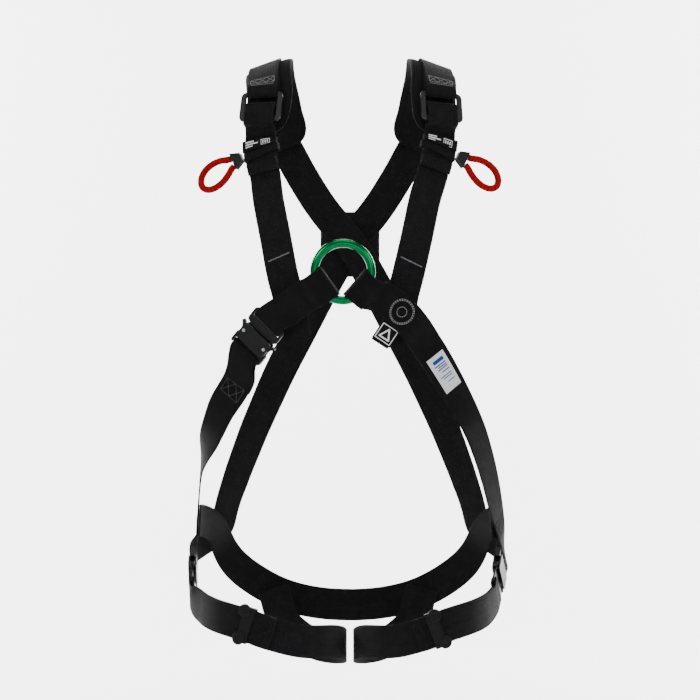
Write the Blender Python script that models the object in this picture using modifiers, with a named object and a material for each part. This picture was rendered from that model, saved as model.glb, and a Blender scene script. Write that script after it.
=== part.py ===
"""Full-body climbing harness (work-order name: tree climbing saddle), laid out as it is worn.

Lengths are written in millimetres and turned into metres by MM. +Z is up, the wearer faces -Y,
and +X is the wearer's left. The origin is the middle of the line across the wearer's shoulders.

Every strap is a flat ribbon that follows a Path: a curve on the wearer's body form. A place near
a strap is given as (s, w, h): millimetres along the strap, across it, and off the body.
"""

import math

import bmesh
import bpy
from mathutils import Matrix, Vector

MM = 0.001

# Webbing
WEB_WIDTH = 43.0
WEB_THICK = 2.0
FOLD_SPACE = 0.5           # air between a bar and the webbing folded round it

# Wearer's form: height, half width, depth to the front, depth to the back
GIRTHS = (
    (-120, 170, 104, 95), (-200, 175, 124, 115), (-280, 174, 130, 112), (-360, 168, 121, 98),
    (-440, 173, 113, 92), (-500, 184, 112, 100), (-560, 192, 113, 114), (-620, 196, 114, 126),
    (-700, 199, 113, 129), (-780, 203, 108, 122),
)
THIGHS = {-1: (102, 94), 1: (96, 88)}     # middle and half width; the wearer stands a little askew
ROUNDNESS = 2.3            # exponent of the form's superellipse sections
ARMPIT_Z = -120            # above this the form closes over the shoulders
SHOULDER_X = 104
SHOULDER_Z = -18
SHOULDER_FALL = 0.36       # how fast the shoulder drops outward

DOCK_REACH = 30.0          # length over which a strap swings into line with its hardware

# Layers, as distances off the form
SKIN = 3.0                 # a strap that lies on the body
PAD_LIFT = 5.0
PAD_THICK = 8.0
OVER_PAD = 11.6
ON_SEAT = 5.9              # a side strap sewn on the end of the seat strap

# Sternal ring
RING_OD = 84.0
RING_TUBE = 5.5
RING_X, RING_Z = -9, -285
RING_OFF = 10.0

# Quick-connect buckle, measured along its pull from the tongue's shoulder
TONGUE_HALF = 26.0
TONGUE_DEEP = 23.0
TONGUE_THICK = 2.6
TONGUE_BAR = 9.0
TONGUE_RAIL = 10.6
NECK_HALF = 12.5
NECK_LONG = 15.0
COVER_FROM, COVER_TO = 2.0, 25.0
COVER_HALF = 23.5
COVER_THICK = 2.0
ROLL_U = 33.0              # the receiver's webbing bar
ROLL_R = 2.3
PLATE_GAP = 3.4            # from the buckle's middle plane to the inner face of each cover
PIVOT_U, PIVOT_V = 13.0, 18.5
RIVET_R = 2.2
CHEST_OFF = 10.5

COLORS = {
    "webbing": ((0.012, 0.012, 0.013), 0.85, 0.0),
    "pad": ((0.014, 0.014, 0.015), 0.9, 0.0),
    "black_metal": ((0.02, 0.02, 0.022), 0.35, 0.6),
    "steel": ((0.55, 0.56, 0.57), 0.3, 1.0),
    "green_metal": ((0.0, 0.22, 0.10), 0.3, 0.8),
    "red_cord": ((0.55, 0.01, 0.015), 0.5, 0.0),
    "plastic": ((0.018, 0.018, 0.018), 0.5, 0.0),
    "label": ((0.8, 0.8, 0.8), 0.7, 0.0),
}


def make_material(name):
    color, roughness, metallic = COLORS[name]
    material = bpy.data.materials.new(name)
    material.use_nodes = True
    shader = material.node_tree.nodes["Principled BSDF"]
    shader.inputs["Base Color"].default_value = (*color, 1)
    shader.inputs["Roughness"].default_value = roughness
    shader.inputs["Metallic"].default_value = metallic
    return material


for old in list(bpy.data.objects):
    bpy.data.objects.remove(old)
PARTS = bpy.data.collections.new("tree_climbing_saddle")
CUTTERS = bpy.data.collections.new("cutters")
for collection in (PARTS, CUTTERS):
    bpy.context.scene.collection.children.link(collection)
MATERIALS = {name: make_material(name) for name in COLORS}


# ---------------------------------------------------------------- the wearer's form

def girth(z):
    """Half width, front and back depth of the form at a height, on smooth curves through GIRTHS."""
    rows = GIRTHS[::-1]
    z = min(max(z, rows[0][0]), rows[-1][0])
    i = max(k for k in range(len(rows) - 1) if rows[k][0] <= z)
    low, high = rows[i], rows[i + 1]
    step = high[0] - low[0]
    t = (z - low[0]) / step

    def slope(k, column):
        before, after = rows[max(k - 1, 0)], rows[min(k + 1, len(rows) - 1)]
        return (after[column] - before[column]) / (after[0] - before[0])

    return [
        (2 * t**3 - 3 * t**2 + 1) * low[c] + (t**3 - 2 * t**2 + t) * step * slope(i, c)
        + (3 * t**2 - 2 * t**3) * high[c] + (t**3 - t**2) * step * slope(i + 1, c)
        for c in (1, 2, 3)
    ]


def shoulder_term(x, z, half):
    """How much of the superellipse's sum the height takes up above the armpit."""
    if z <= ARMPIT_Z:
        return 0.0
    across = min(abs(x) / half, 0.86) ** ROUNDNESS
    top = SHOULDER_Z - SHOULDER_FALL * (min(abs(x), 150) - SHOULDER_X)
    high = (top - ARMPIT_Z) / (1 - across) ** (1 / ROUNDNESS)
    return ((z - ARMPIT_Z) / high) ** ROUNDNESS


def torso(p):
    half, front, back = girth(p.z)
    deep = front if p.y < 0 else back
    total = (abs(p.x) / half) ** ROUNDNESS + (abs(p.y) / deep) ** ROUNDNESS
    return (total + shoulder_term(p.x, p.z, half)) ** (1 / ROUNDNESS) - 1


def thigh(side):
    """The form of one thigh, an upright oval. side is -1 for the wearer's right, +1 for the left."""
    centre, half = THIGHS[side]

    def form(p):
        return math.hypot((p.x - side * centre) / half, (p.y + 5) / 105) - 1
    return form


def gradient(form, p):
    step = 0.5
    axes = (Vector((step, 0, 0)), Vector((0, step, 0)), Vector((0, 0, step)))
    return Vector([(form(p + a) - form(p - a)) / (2 * step) for a in axes])


def settle(form, p):
    for _ in range(6):
        g = gradient(form, p)
        p = p - g * (form(p) / g.length_squared)
    return p


def front(x, z):
    half, deep, _ = girth(z)
    rest = 1 - (abs(x) / half) ** ROUNDNESS - shoulder_term(x, z, half)
    return Vector((x, -deep * max(rest, 0.0) ** (1 / ROUNDNESS), z))


def back(x, z):
    half, _, deep = girth(z)
    rest = 1 - (abs(x) / half) ** ROUNDNESS - shoulder_term(x, z, half)
    return Vector((x, deep * max(rest, 0.0) ** (1 / ROUNDNESS), z))


def flank(side, y, z):
    half, deep_front, deep_back = girth(z)
    deep = deep_front if y < 0 else deep_back
    return Vector((side * half * (1 - (abs(y) / deep) ** ROUNDNESS) ** (1 / ROUNDNESS), y, z))


# ---------------------------------------------------------------- paths and places near them

def spline(a, b, c, d, t):
    """Catmull-Rom point between b and c."""
    return 0.5 * (2 * b + (c - a) * t + (2 * a - 5 * b + 4 * c - d) * t**2 + (3 * b - a - 3 * c + d) * t**3)


class Path:
    """A curve on a form, measured by its length. Its across direction is along x normal."""

    STEPS = 16

    def __init__(self, knots, form=torso, turns=()):
        ends = [2 * knots[0] - knots[1], *knots, 2 * knots[-1] - knots[-2]]
        raw = [
            spline(*ends[i:i + 4], k / self.STEPS)
            for i in range(len(knots) - 1) for k in range(self.STEPS)
        ] + [knots[-1]]
        self.form = form
        self.points = [settle(form, p) for p in raw]
        self.lengths = [0.0]
        for p, q in zip(self.points, self.points[1:]):
            self.lengths.append(self.lengths[-1] + (q - p).length)
        self.length = self.lengths[-1]
        self.turns = [(self.nearest(p), degrees) for p, degrees in turns]

    def spot(self, s):
        if s <= 0:
            return self.points[0] + (self.points[1] - self.points[0]).normalized() * s
        if s >= self.length:
            last = (self.points[-1] - self.points[-2]).normalized()
            return self.points[-1] + last * (s - self.length)
        i = next(k for k in range(len(self.lengths) - 1) if self.lengths[k + 1] >= s)
        t = (s - self.lengths[i]) / (self.lengths[i + 1] - self.lengths[i])
        return self.points[i].lerp(self.points[i + 1], t)

    def axes(self, s):
        along = (self.spot(s + 5) - self.spot(s - 5)).normalized()
        normal = gradient(self.form, self.spot(s)).normalized()
        normal = (normal - along * normal.dot(along)).normalized()
        if self.turns:
            normal = Matrix.Rotation(math.radians(height(self.turns, s)), 3, along) @ normal
        return along, along.cross(normal), normal

    def place(self, s, w=0.0, h=0.0):
        _, across, normal = self.axes(s)
        return self.spot(s) + across * w + normal * h

    def nearest(self, p):
        i = min(range(len(self.points)), key=lambda k: (self.points[k] - p).length)
        return self.lengths[i]

    def bench(self, s, h=0.0):
        """A flat frame standing on the path, for rigid hardware."""
        along, _, normal = self.axes(s)
        return Bench(self.spot(s) + normal * h, along, normal)

    def rise(self, s, bench, n):
        """The lift off this path at s that comes level with height n of a bench."""
        return (bench.place(0, 0, n) - self.spot(s)).dot(bench.n)


class Bench:
    """A flat right-handed frame: u along, v across, n off the body."""

    def __init__(self, origin, along, normal):
        self.origin = origin
        self.n = normal.normalized()
        self.u = (along - self.n * along.dot(self.n)).normalized()
        self.v = self.n.cross(self.u)

    def place(self, u, v=0.0, n=0.0):
        return self.origin + self.u * u + self.v * v + self.n * n

    def matrix(self):
        turn = Matrix((self.u, self.v, self.n)).transposed().to_4x4()
        return Matrix.Translation(self.origin * MM) @ turn


# ---------------------------------------------------------------- makers of solids

def keep(name, data, material):
    obj = bpy.data.objects.new(name, data)
    PARTS.objects.link(obj)
    data.materials.append(MATERIALS[material])
    return obj


def mesh_from(bm, name):
    bmesh.ops.recalc_face_normals(bm, faces=bm.faces)
    mesh = bpy.data.meshes.new(name)
    bm.to_mesh(mesh)
    bm.free()
    return mesh


def sheet(name, rows, thick, material):
    """A grid through rows of points, given a thickness on both sides."""
    bm = bmesh.new()
    down, over = len(rows) - 1, len(rows[0]) - 1
    bmesh.ops.create_grid(bm, x_segments=down, y_segments=over, size=0.5)
    for vert in bm.verts:
        i, j = round((vert.co.x + 0.5) * down), round((vert.co.y + 0.5) * over)
        vert.co = rows[i][j] * MM
    mesh = bpy.data.meshes.new(name)
    bm.to_mesh(mesh)
    bm.free()
    obj = keep(name, mesh, material)
    solid = obj.modifiers.new("thickness", "SOLIDIFY")
    solid.thickness = thick * MM
    solid.offset = 0
    solid.use_even_offset = True
    return obj


def ribbon(name, stations):
    """A strap through stations, each a centre point and the direction across."""
    rows = [[p - across * WEB_WIDTH / 2, p + across * WEB_WIDTH / 2] for p, across in stations]
    return sheet(name, rows, WEB_THICK, "webbing")


def ply(path, start, end, lift, count, docks=()):
    """Stations along a path. lift is a number, or a list of (s, h) pairs joined smoothly. A dock
    (s, point, across) draws the strap over to a place on some hardware."""
    stations = []
    for k in range(count + 1):
        s = start + (end - start) * k / count
        _, across, _ = path.axes(s)
        point = path.place(s, 0, height(lift, s))
        for s_dock, target, target_across in docks:
            pull = max(0.0, 1 - abs(s - s_dock) / DOCK_REACH)
            pull = pull * pull * (3 - 2 * pull)
            point = point + (target - path.place(s_dock, 0, height(lift, s_dock))) * pull
            across = across.lerp(target_across, pull).normalized()
        stations.append((point, across))
    return stations


def height(lift, s):
    if isinstance(lift, (int, float)):
        return lift
    pairs = sorted(lift)
    if s <= pairs[0][0]:
        return pairs[0][1]
    if s >= pairs[-1][0]:
        return pairs[-1][1]
    (s0, h0), (s1, h1) = next(p for p in zip(pairs, pairs[1:]) if p[1][0] >= s)
    t = (s - s0) / (s1 - s0)
    return h0 + (h1 - h0) * t * t * (3 - 2 * t)


def turn_round(bench, u, n, reach_u, reach_n, start, end, across, count=6):
    """Stations of a fold round a bar: an arc in the bench's u-n plane, angles in degrees from +u."""
    stations = []
    for k in range(count + 1):
        angle = math.radians(start + (end - start) * k / count)
        p = bench.place(u + reach_u * math.cos(angle), 0, n + reach_n * math.sin(angle))
        stations.append((p, across))
    return stations


def rounded(u0, u1, v0, v1, radius, steps=3):
    """Outline points of a rectangle with round corners, from the one at (u1, v0) round to (u0, v0)."""
    points = []
    corners = ((u1, v0, 270), (u1, v1, 0), (u0, v1, 90), (u0, v0, 180))
    for u, v, start in corners:
        cu = u - radius if u == u1 else u + radius
        cv = v - radius if v == v1 else v + radius
        for k in range(steps + 1):
            a = math.radians(start + 90 * k / steps)
            points.append((cu + radius * math.cos(a), cv + radius * math.sin(a)))
    return points


def circle(u, v, radius, steps=12):
    return [
        (u + radius * math.cos(math.tau * k / steps), v + radius * math.sin(math.tau * k / steps))
        for k in range(steps)
    ]


def plate(name, bench, outlines, low, high, material):
    """A flat plate from n = low to n = high: the first outline is its rim and the others are holes."""
    curve = bpy.data.curves.new(name, "CURVE")
    curve.dimensions = "2D"
    curve.fill_mode = "BOTH"
    curve.extrude = (high - low) / 2 * MM
    for outline in outlines:
        line = curve.splines.new("POLY")
        line.points.add(len(outline) - 1)
        for point, (u, v) in zip(line.points, outline):
            point.co = (u * MM, v * MM, 0, 1)
        line.use_cyclic_u = True
    shape = bpy.data.objects.new(name + "_outline", curve)
    PARTS.objects.link(shape)
    bpy.context.view_layer.update()
    flat = shape.evaluated_get(bpy.context.evaluated_depsgraph_get())
    mesh = bpy.data.meshes.new_from_object(flat)
    bpy.data.objects.remove(shape)
    bm = bmesh.new()
    bm.from_mesh(mesh)
    bmesh.ops.remove_doubles(bm, verts=bm.verts, dist=0.00001)
    bm.to_mesh(mesh)
    bm.free()
    mesh.materials.clear()
    obj = keep(name, mesh, material)
    obj.matrix_world = bench.matrix() @ Matrix.Translation((0, 0, (low + high) / 2 * MM))
    return obj


def join(obj, other):
    """Unites a helper solid with obj."""
    modifier = obj.modifiers.new("join", "BOOLEAN")
    modifier.operation = "UNION"
    modifier.object = other
    park(other)


def park(obj):
    PARTS.objects.unlink(obj)
    CUTTERS.objects.link(obj)
    obj.hide_render = True
    obj.hide_set(True)
    obj.display_type = "WIRE"


def rod(name, start, end, radius, material, sides=12):
    """A round bar between two points."""
    bm = bmesh.new()
    length = (end - start).length
    bmesh.ops.create_cone(
        bm, cap_ends=True, segments=sides, radius1=radius * MM, radius2=radius * MM, depth=length * MM
    )
    obj = keep(name, mesh_from(bm, name), material)
    turn = (end - start).to_track_quat("Z", "Y").to_matrix().to_4x4()
    obj.matrix_world = Matrix.Translation((start + end) / 2 * MM) @ turn
    smooth(obj)
    return obj


def tube(name, points, radius, material, closed=False):
    """A bent round rod through points."""
    curve = bpy.data.curves.new(name, "CURVE")
    curve.dimensions = "3D"
    curve.bevel_depth = radius * MM
    curve.bevel_resolution = 2
    curve.use_fill_caps = True
    line = curve.splines.new("POLY")
    line.points.add(len(points) - 1)
    for point, p in zip(line.points, points):
        point.co = (*(p * MM), 1)
    line.use_cyclic_u = closed
    return keep(name, curve, material)


def smooth(obj):
    obj.data.shade_smooth()
    obj.data.set_sharp_from_angle(angle=math.radians(35))


def wrap(name, path, s0, s1, w0, w1, h0, h1, thick, material="webbing", tilt=0.0):
    """A band wrapped once round a strap, its ends meeting under it. w0..w1 by h0..h1 is its middle line,
    and tilt is how far it runs along the strap for each millimetre across."""
    middle = (w0 + w1) / 2
    around = [(middle + 0.5, h0), *rounded(w0, w1, h0, h1, 1.4, 2), (middle - 0.5, h0)]
    rows = [[path.place(s + tilt * w, w, h) for s in (s0, s1)] for w, h in around]
    return sheet(name, rows, thick, material)


# ---------------------------------------------------------------- routes of the straps

def top(x, y=0.0):
    """A point on the ridge of the shoulder."""
    start = Vector((x, y, SHOULDER_Z - SHOULDER_FALL * (abs(x) - SHOULDER_X)))
    return settle(torso, start)


SHOULDER_FRONT = {
    -1: ((-71, -369), (-76, -327), (-86, -289), (-95, -240), (-104, -193),
         (-108, -161), (-112, -121), (-110, -96), (-108, -76), (-106, -51)),
    1: ((59, -374), (66, -321), (74, -289), (85, -240), (95, -193),
        (106, -155), (112, -118), (112, -97), (111, -76), (110, -51)),
}
SHOULDER_BACK = (
    (102, -48), (93, -85), (73, -135), (40, -190), (0, -240), (-31, -292), (-62, -352),
    (-95, -418), (-121, -478), (-142, -532), (-158, -580),
)
CROSSING = {-1: (-78, -331), 1: (62, -333)}     # where each chest band lies on a front strap
CHEST_BUCKLE = (-110, -361)
CHEST_R = (
    (-8, -284), (-24, -292), (-50, -310), CROSSING[-1], (-97, -344),
    CHEST_BUCKLE, (-119, -372), (-129, -395), (-143, -426), (-161, -457),
    (-175, -492),
)
CHEST_L = (
    (-8, -284), (8, -293), (31, -312), CROSSING[1], (101, -384), (134, -440),
    (153, -477), (166, -511), (178, -555), (185, -588),
)
WAIST_TURNS = (-4, -20, -27, -22, -4)      # degrees the right side strap faces forward, knot by knot
HIP_Y, HIP_Z = 15, -690
HIP_OFF = {-1: 10.5, 1: -2}
HIP_FACING = {-1: 0.0, 1: -0.25}           # how much each hip buckle looks forward
HIP_ROLL = (HIP_Y + ROLL_U * math.sqrt(0.5), HIP_Z + ROLL_U * math.sqrt(0.5))
LEG_TURNS = ((-5, -702), (4, -711), (14, -718), (28, -724), (45, -730), (60, -735), (74, -741), (87, -749),
             (114, -761), (149, -765), (180, -775), (215, -783), (240, -778), (262, -752), (271, -708))


def shoulder_path(side):
    knots = [front(x, z) for x, z in SHOULDER_FRONT[side]]
    knots += [top(side * 107)]
    knots += [back(side * x, z) for x, z in SHOULDER_BACK]
    knots += [flank(-side, 77, -620), flank(-side, 60, -644), flank(-side, *HIP_ROLL), flank(-side, 22, -684)]
    return Path(knots)


def chest_path(side):
    if side < 0:
        knots = [front(x, z) for x, z in CHEST_R] + [flank(-1, -2, -545), flank(-1, 8, -600), flank(-1, 14, -638)]
        return Path(knots, torso, list(zip(knots[7:12], WAIST_TURNS)))
    return Path([front(x, z) for x, z in CHEST_L] + [flank(1, -30, -618), flank(1, -8, -648)])


def leg_path(side):
    centre, half = THIGHS[side]
    knots = []
    for degrees, z in LEG_TURNS:
        a = math.radians(degrees)
        knots.append(Vector((side * (centre + half * math.cos(a)), -5 - 105 * math.sin(a), z)))
    return Path(knots, thigh(side))


SHOULDER = {side: shoulder_path(side) for side in (-1, 1)}
CHEST = {side: chest_path(side) for side in (-1, 1)}
LEG = {side: leg_path(side) for side in (-1, 1)}
SIDES = {-1: "right", 1: "left"}


# ---------------------------------------------------------------- shoulders

def adjuster_spot(side):
    return SHOULDER[side].nearest(front(*SHOULDER_FRONT[side][8]))


ADJUSTER_OFF = 17.0
FRAME_HALF_V, FRAME_RAIL = 29.5, 6.5
FRAME_BARS = (-20.0, -15.0, 15.5, 20.0)     # lower bar and upper bar, along the strap
FRAME_THICK = 3.4
SLIDE_U, SLIDE_N, SLIDE_R = 1.5, -1.9, 2.8


def shoulder_adjuster(side):
    path, word = SHOULDER[side], SIDES[side]
    bench = path.bench(adjuster_spot(side), ADJUSTER_OFF)
    low, low_in, high_in, high = FRAME_BARS
    inner = FRAME_HALF_V - FRAME_RAIL
    rim = rounded(low, high, -FRAME_HALF_V, FRAME_HALF_V, 7)
    hole = rounded(low_in, high_in, -inner, inner, 2.5)
    plate(f"adjuster_frame_{word}", bench, [rim, hole], -FRAME_THICK / 2, FRAME_THICK / 2, "black_metal")
    reach = inner - 0.5
    ends = [bench.place(SLIDE_U, v, SLIDE_N) for v in (-reach, reach)]
    rod(f"adjuster_slide_bar_{word}", *ends, SLIDE_R, "black_metal")


KEEPER_LIFT = 7.4
KEEPER_TILT = 0.17
PLY_STEP = 2.8             # from a strap's middle to that of its tail lying on it
PAD_EDGE = 11.6            # height at which the front strap passes over the pad's lower end


def pad_ends(side):
    path = SHOULDER[side]
    return path.nearest(front(*SHOULDER_FRONT[side][7])) - 5, path.nearest(back(side * 82, -112))


def keeper_spot(side):
    return SHOULDER[side].nearest(front(*SHOULDER_FRONT[side][6])) + 2


def yoke_strap(side):
    """The webbing over the pad: its short end lies under the adjuster's upper bar, and from there it
    runs over the shoulder, through the dorsal crossing and down to the other hip's receiver."""
    path, s_buckle = SHOULDER[side], adjuster_spot(side)
    bench = path.bench(s_buckle, ADJUSTER_OFF)
    across = same_way(bench, path.axes(s_buckle)[1])
    reach = 4.0
    fold = FRAME_BARS[2] - 2.2
    s_bar = s_buckle + 23
    hip = hip_bench(-side)
    hip_across = same_way(hip, path.axes(path.length - 20)[1])
    s_cross = path.nearest(back(0, DORSAL_Z))
    s_end = path.nearest(flank(-side, *HIP_ROLL)) - 10
    crossing = SKIN if side < 0 else SKIN + 6
    lifts = [(s_bar, path.rise(s_bar, bench, -reach)), (s_buckle + 44, OVER_PAD)]
    docks = [(s_bar, bench.place(23, 0, -reach), across)]
    stations = ply(path, s_buckle + 48, s_bar, lifts, 3, docks)
    stations += turn_round(bench, fold + reach, 0, reach, reach, 270, 90, across)
    lifts = [
        (s_bar, path.rise(s_bar, bench, reach)), (s_buckle + 48, OVER_PAD + 2.8), (s_buckle + 64, OVER_PAD),
        (pad_ends(side)[1] + 4, OVER_PAD), (s_cross - 55, crossing), (s_cross + 55, crossing),
        (s_cross + 110, SKIN), (s_end - 110, SKIN), (s_end - 62, 8.5),
        (s_end, path.rise(s_end, hip, ROLL_N)),
    ]
    docks = [(s_bar, bench.place(23, 0, reach), across), (s_end, hip.place(ROLL_U + 8, 0, ROLL_N), hip_across)]
    stations += ply(path, s_bar, s_end, lifts, 46, docks)
    stations += hip_roll(-side, path)
    ribbon(f"yoke_strap_{SIDES[side]}", stations)


def front_strap(side):
    """From its sewn end under the chest band up to the slide bar, over it and over the frame's lower
    bar, and back down as a tail."""
    path, s_buckle, s_keep = SHOULDER[side], adjuster_spot(side), keeper_spot(side)
    bench = path.bench(s_buckle, ADJUSTER_OFF)
    across = same_way(bench, path.axes(s_buckle)[1])
    reach = SLIDE_R + FOLD_SPACE + WEB_THICK / 2
    low_n = FRAME_THICK / 2 + 1.4
    s_low, s_near = s_buckle - 23, s_buckle - 15
    s_pad = pad_ends(side)[0]
    main = [
        (0, 2.2), (90, 2.2), (150, SKIN), (s_keep - 50, SKIN), (s_keep - 22, KEEPER_LIFT),
        (s_keep + 8, KEEPER_LIFT), (s_pad - 1, PAD_EDGE), (s_near, path.rise(s_near, bench, SLIDE_N - reach)),
    ]
    docks = [(s_near, bench.place(-15, 0, SLIDE_N - reach), across)]
    stations = ply(path, 0, s_near, main, 34, docks)
    stations += turn_round(bench, SLIDE_U, SLIDE_N, reach, reach, 270, 450, across)
    stations += [(bench.place(u, 0, low_n + bulge), across) for u, bulge in ((-4, 1.0), (-10, 1.6), (-17, 0.2))]
    s_tail = s_keep - 40
    tail = [
        (s_tail, height(main, s_tail) + PLY_STEP), (s_keep - 22, KEEPER_LIFT + PLY_STEP),
        (s_keep + 8, KEEPER_LIFT + PLY_STEP), (s_pad - 1, PAD_EDGE + PLY_STEP),
        (s_low, path.rise(s_low, bench, low_n)),
    ]
    docks = [(s_low, bench.place(-23, 0, low_n), across)]
    stations += ply(path, s_low, s_tail, tail, 14, docks)
    ribbon(f"front_strap_{SIDES[side]}", stations)


def shoulder_pad(side):
    """A padded sleeve under the webbing, wider on the neck side, with rounded ends."""
    path, word = SHOULDER[side], SIDES[side]
    start, end = pad_ends(side)
    count = 20
    rows = []
    for k in range(count + 1):
        t = k / count
        nearest_end = min(t, 1 - t) * (end - start)
        full = math.sqrt(max(0.0, 1 - (1 - min(nearest_end / 26, 1)) ** 2))
        shrink = 0.45 + 0.55 * full
        s = start + (end - start) * t
        outer, inner = -27.0 * shrink, 35.0 * shrink
        rows.append([path.place(s, -side * (outer + (inner - outer) * j / 4), PAD_LIFT) for j in range(5)])
    pad = sheet(f"shoulder_pad_{word}", rows, PAD_THICK, "pad")
    round_off = pad.modifiers.new("edge", "BEVEL")
    round_off.width = 2.2 * MM
    round_off.segments = 1
    round_off.angle_limit = math.radians(50)


def keepers(side):
    """The printed keeper, and under it the band that carries the parking loop."""
    path, word, s = SHOULDER[side], SIDES[side], keeper_spot(side)
    half = WEB_WIDTH / 2
    low, high = KEEPER_LIFT - 2.8, KEEPER_LIFT + PLY_STEP + 2.8
    edges = sorted((side * (half + 2.5), -side * (half + 1.3)))
    wrap(f"printed_keeper_{word}", path, s - 6, s + 7, *edges, low, high, 1.2, tilt=-side * KEEPER_TILT)
    edges = sorted((side * (half + 1.3), -side * (half + 3.5)))
    wrap(f"parking_loop_band_{word}", path, s - 19, s - 8, *edges, low, high, 1.2, tilt=-side * KEEPER_TILT)


LOOP_R = 4.4
LOOP_POINTS = ((16, 5.8), (20.5, 7.2), (32, 12), (45, 13), (57, 9.5), (65, 2), (67, -7), (62, -14.5),
               (52, -18), (40, -17), (29, -12.5), (20.5, -7.2), (16, -5.8))
LOOP_TILT = {-1: 19, 1: 17}


def loop_bench(side):
    """Where the parking loop leaves its band: u runs outward and down, n off the body."""
    path = SHOULDER[side]
    s = keeper_spot(side) - 13
    along, across, normal = path.axes(s)
    tilt = math.radians(LOOP_TILT[side])
    out = across * side
    direction = out * math.cos(tilt) - along * math.sin(tilt)
    return Bench(path.place(s, side * (WEB_WIDTH / 2 + 5), KEEPER_LIFT + PLY_STEP / 2), direction, normal)


def parking_loop(side):
    """The red cord loop and the black collar that grips its two ends."""
    word, bench = SIDES[side], loop_bench(side)
    points = [bench.place(u, side * v, 0) for u, v in LOOP_POINTS]
    knots = [2 * points[0] - points[1], *points, 2 * points[-1] - points[-2]]
    route = [spline(*knots[i:i + 4], k / 3) for i in range(len(points) - 1) for k in range(3)] + [points[-1]]
    tube(f"parking_loop_{word}", route, LOOP_R, "red_cord")
    rim = [(1.2, -5.5), (14.2, -11.5), (14.2, 11.5), (1.2, 5.5)]
    plate(f"parking_loop_collar_{word}", bench, [rim], -4.5, 4.5, "plastic")


# ---------------------------------------------------------------- quick-connect buckles

LEVER = ((3.2, 25.5), (2.6, 29), (5.2, 29.8), (8.5, 26.5), (13, 24), (18, 22.3), (18.8, 17.5), (15.5, 14.2),
         (11, 12.8), (7.6, 12.8), (8.6, 16.5), (8, 21.5))
LEVER_HALF = 2.4


def quick_connect(bench, word):
    """Tongue, receiver base and cover, its yoke and webbing bar, two levers and their rivets."""
    frame = rounded(-TONGUE_DEEP, 0, -TONGUE_HALF, TONGUE_HALF, 5)
    neck = [
        (0, -NECK_HALF), (7, -NECK_HALF), (7, -NECK_HALF + 3), (11, -NECK_HALF + 3), (11, -NECK_HALF),
        (NECK_LONG - 2, -NECK_HALF), (NECK_LONG, -NECK_HALF + 2),
    ]
    neck += [(u, -v) for u, v in reversed(neck)]
    rim = frame[:4] + neck + frame[4:]
    slot_half = WEB_WIDTH / 2 + 0.8
    slot = rounded(TONGUE_BAR - TONGUE_DEEP, -TONGUE_RAIL, -slot_half, slot_half, 0.8)
    plate(f"{word}_tongue", bench, [rim, slot], -TONGUE_THICK / 2, TONGUE_THICK / 2, "black_metal")

    face = rounded(COVER_FROM, COVER_TO, -COVER_HALF, COVER_HALF, 4)
    pivots = [circle(PIVOT_U, v, RIVET_R + 0.4) for v in (-PIVOT_V, PIVOT_V)]
    outer = PLATE_GAP + COVER_THICK
    plate(f"{word}_receiver_base", bench, [face, *pivots], -outer, -PLATE_GAP, "black_metal")
    plate(f"{word}_receiver_cover", bench, [face, *pivots], PLATE_GAP, outer, "black_metal")

    arm_in, arm_out, tip = WEB_WIDTH / 2 + 1.4, COVER_HALF + 2.5, ROLL_U + 3.4
    half = PLATE_GAP - 0.3
    yoke = [
        (20.5, -arm_out), (tip - 2, -arm_out), (tip, -arm_out + 2), (tip, -arm_in), (27.4, -arm_in),
        (27.4, arm_in), (tip, arm_in), (tip, arm_out - 2), (tip - 2, arm_out), (20.5, arm_out),
    ]
    plate(f"{word}_receiver_yoke", bench, [yoke], -half, half, "black_metal")
    ends = [bench.place(ROLL_U, v) for v in (0.3 - arm_in, arm_in - 0.3)]
    rod(f"{word}_webbing_bar", *ends, ROLL_R, "black_metal")

    for hand, v_sign in (("a", -1), ("b", 1)):
        rim = [(u, v * v_sign) for u, v in LEVER][::v_sign]
        hole = circle(PIVOT_U, PIVOT_V * v_sign, RIVET_R + 0.4)
        plate(f"{word}_lever_{hand}", bench, [rim, hole], -LEVER_HALF, LEVER_HALF, "steel")
        ends = [bench.place(PIVOT_U, PIVOT_V * v_sign, n) for n in (-outer - 0.7, outer + 0.7)]
        rod(f"{word}_rivet_{hand}", *ends, RIVET_R, "steel")


def tongue_fold(bench, across):
    """Stations of webbing folded through the tongue's slot, from under its far bar to over it."""
    reach = TONGUE_THICK / 2 + FOLD_SPACE + WEB_THICK / 2
    u = TONGUE_BAR - TONGUE_DEEP + FOLD_SPACE + 0.4 + WEB_THICK / 2 - reach
    return turn_round(bench, u, 0, reach, reach, -90, 90, across)


FOLD_N = TONGUE_THICK / 2 + FOLD_SPACE + WEB_THICK / 2
ROLL_N = ROLL_R + FOLD_SPACE + WEB_THICK / 2


def receiver_roll(bench, across):
    """Stations of webbing round the receiver's bar, arriving over it and leaving under it."""
    return turn_round(bench, ROLL_U, 0, ROLL_N, ROLL_N, 90, 270, across)


def same_way(bench, across):
    return bench.v if bench.v.dot(across) > 0 else -bench.v


def hip_bench(side):
    """The hip buckle's frame: u runs up and back, from the leg strap's tongue to the receiver."""
    out = Vector((side, HIP_FACING[side], 0)).normalized()
    return Bench(flank(side, HIP_Y, HIP_Z) + out * HIP_OFF[side], Vector((0, 1, 1)), out)


def hip_roll(side, path):
    bench = hip_bench(side)
    across = same_way(bench, path.axes(path.length - 20)[1])
    tail = [(bench.place(u, 0, -ROLL_N), across) for u in (ROLL_U + 8, ROLL_U + 16)]
    return receiver_roll(bench, across) + tail


def chest_bench():
    path = CHEST[-1]
    return path.bench(path.nearest(front(*CHEST_BUCKLE)), CHEST_OFF)


# ---------------------------------------------------------------- chest and sides

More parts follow.
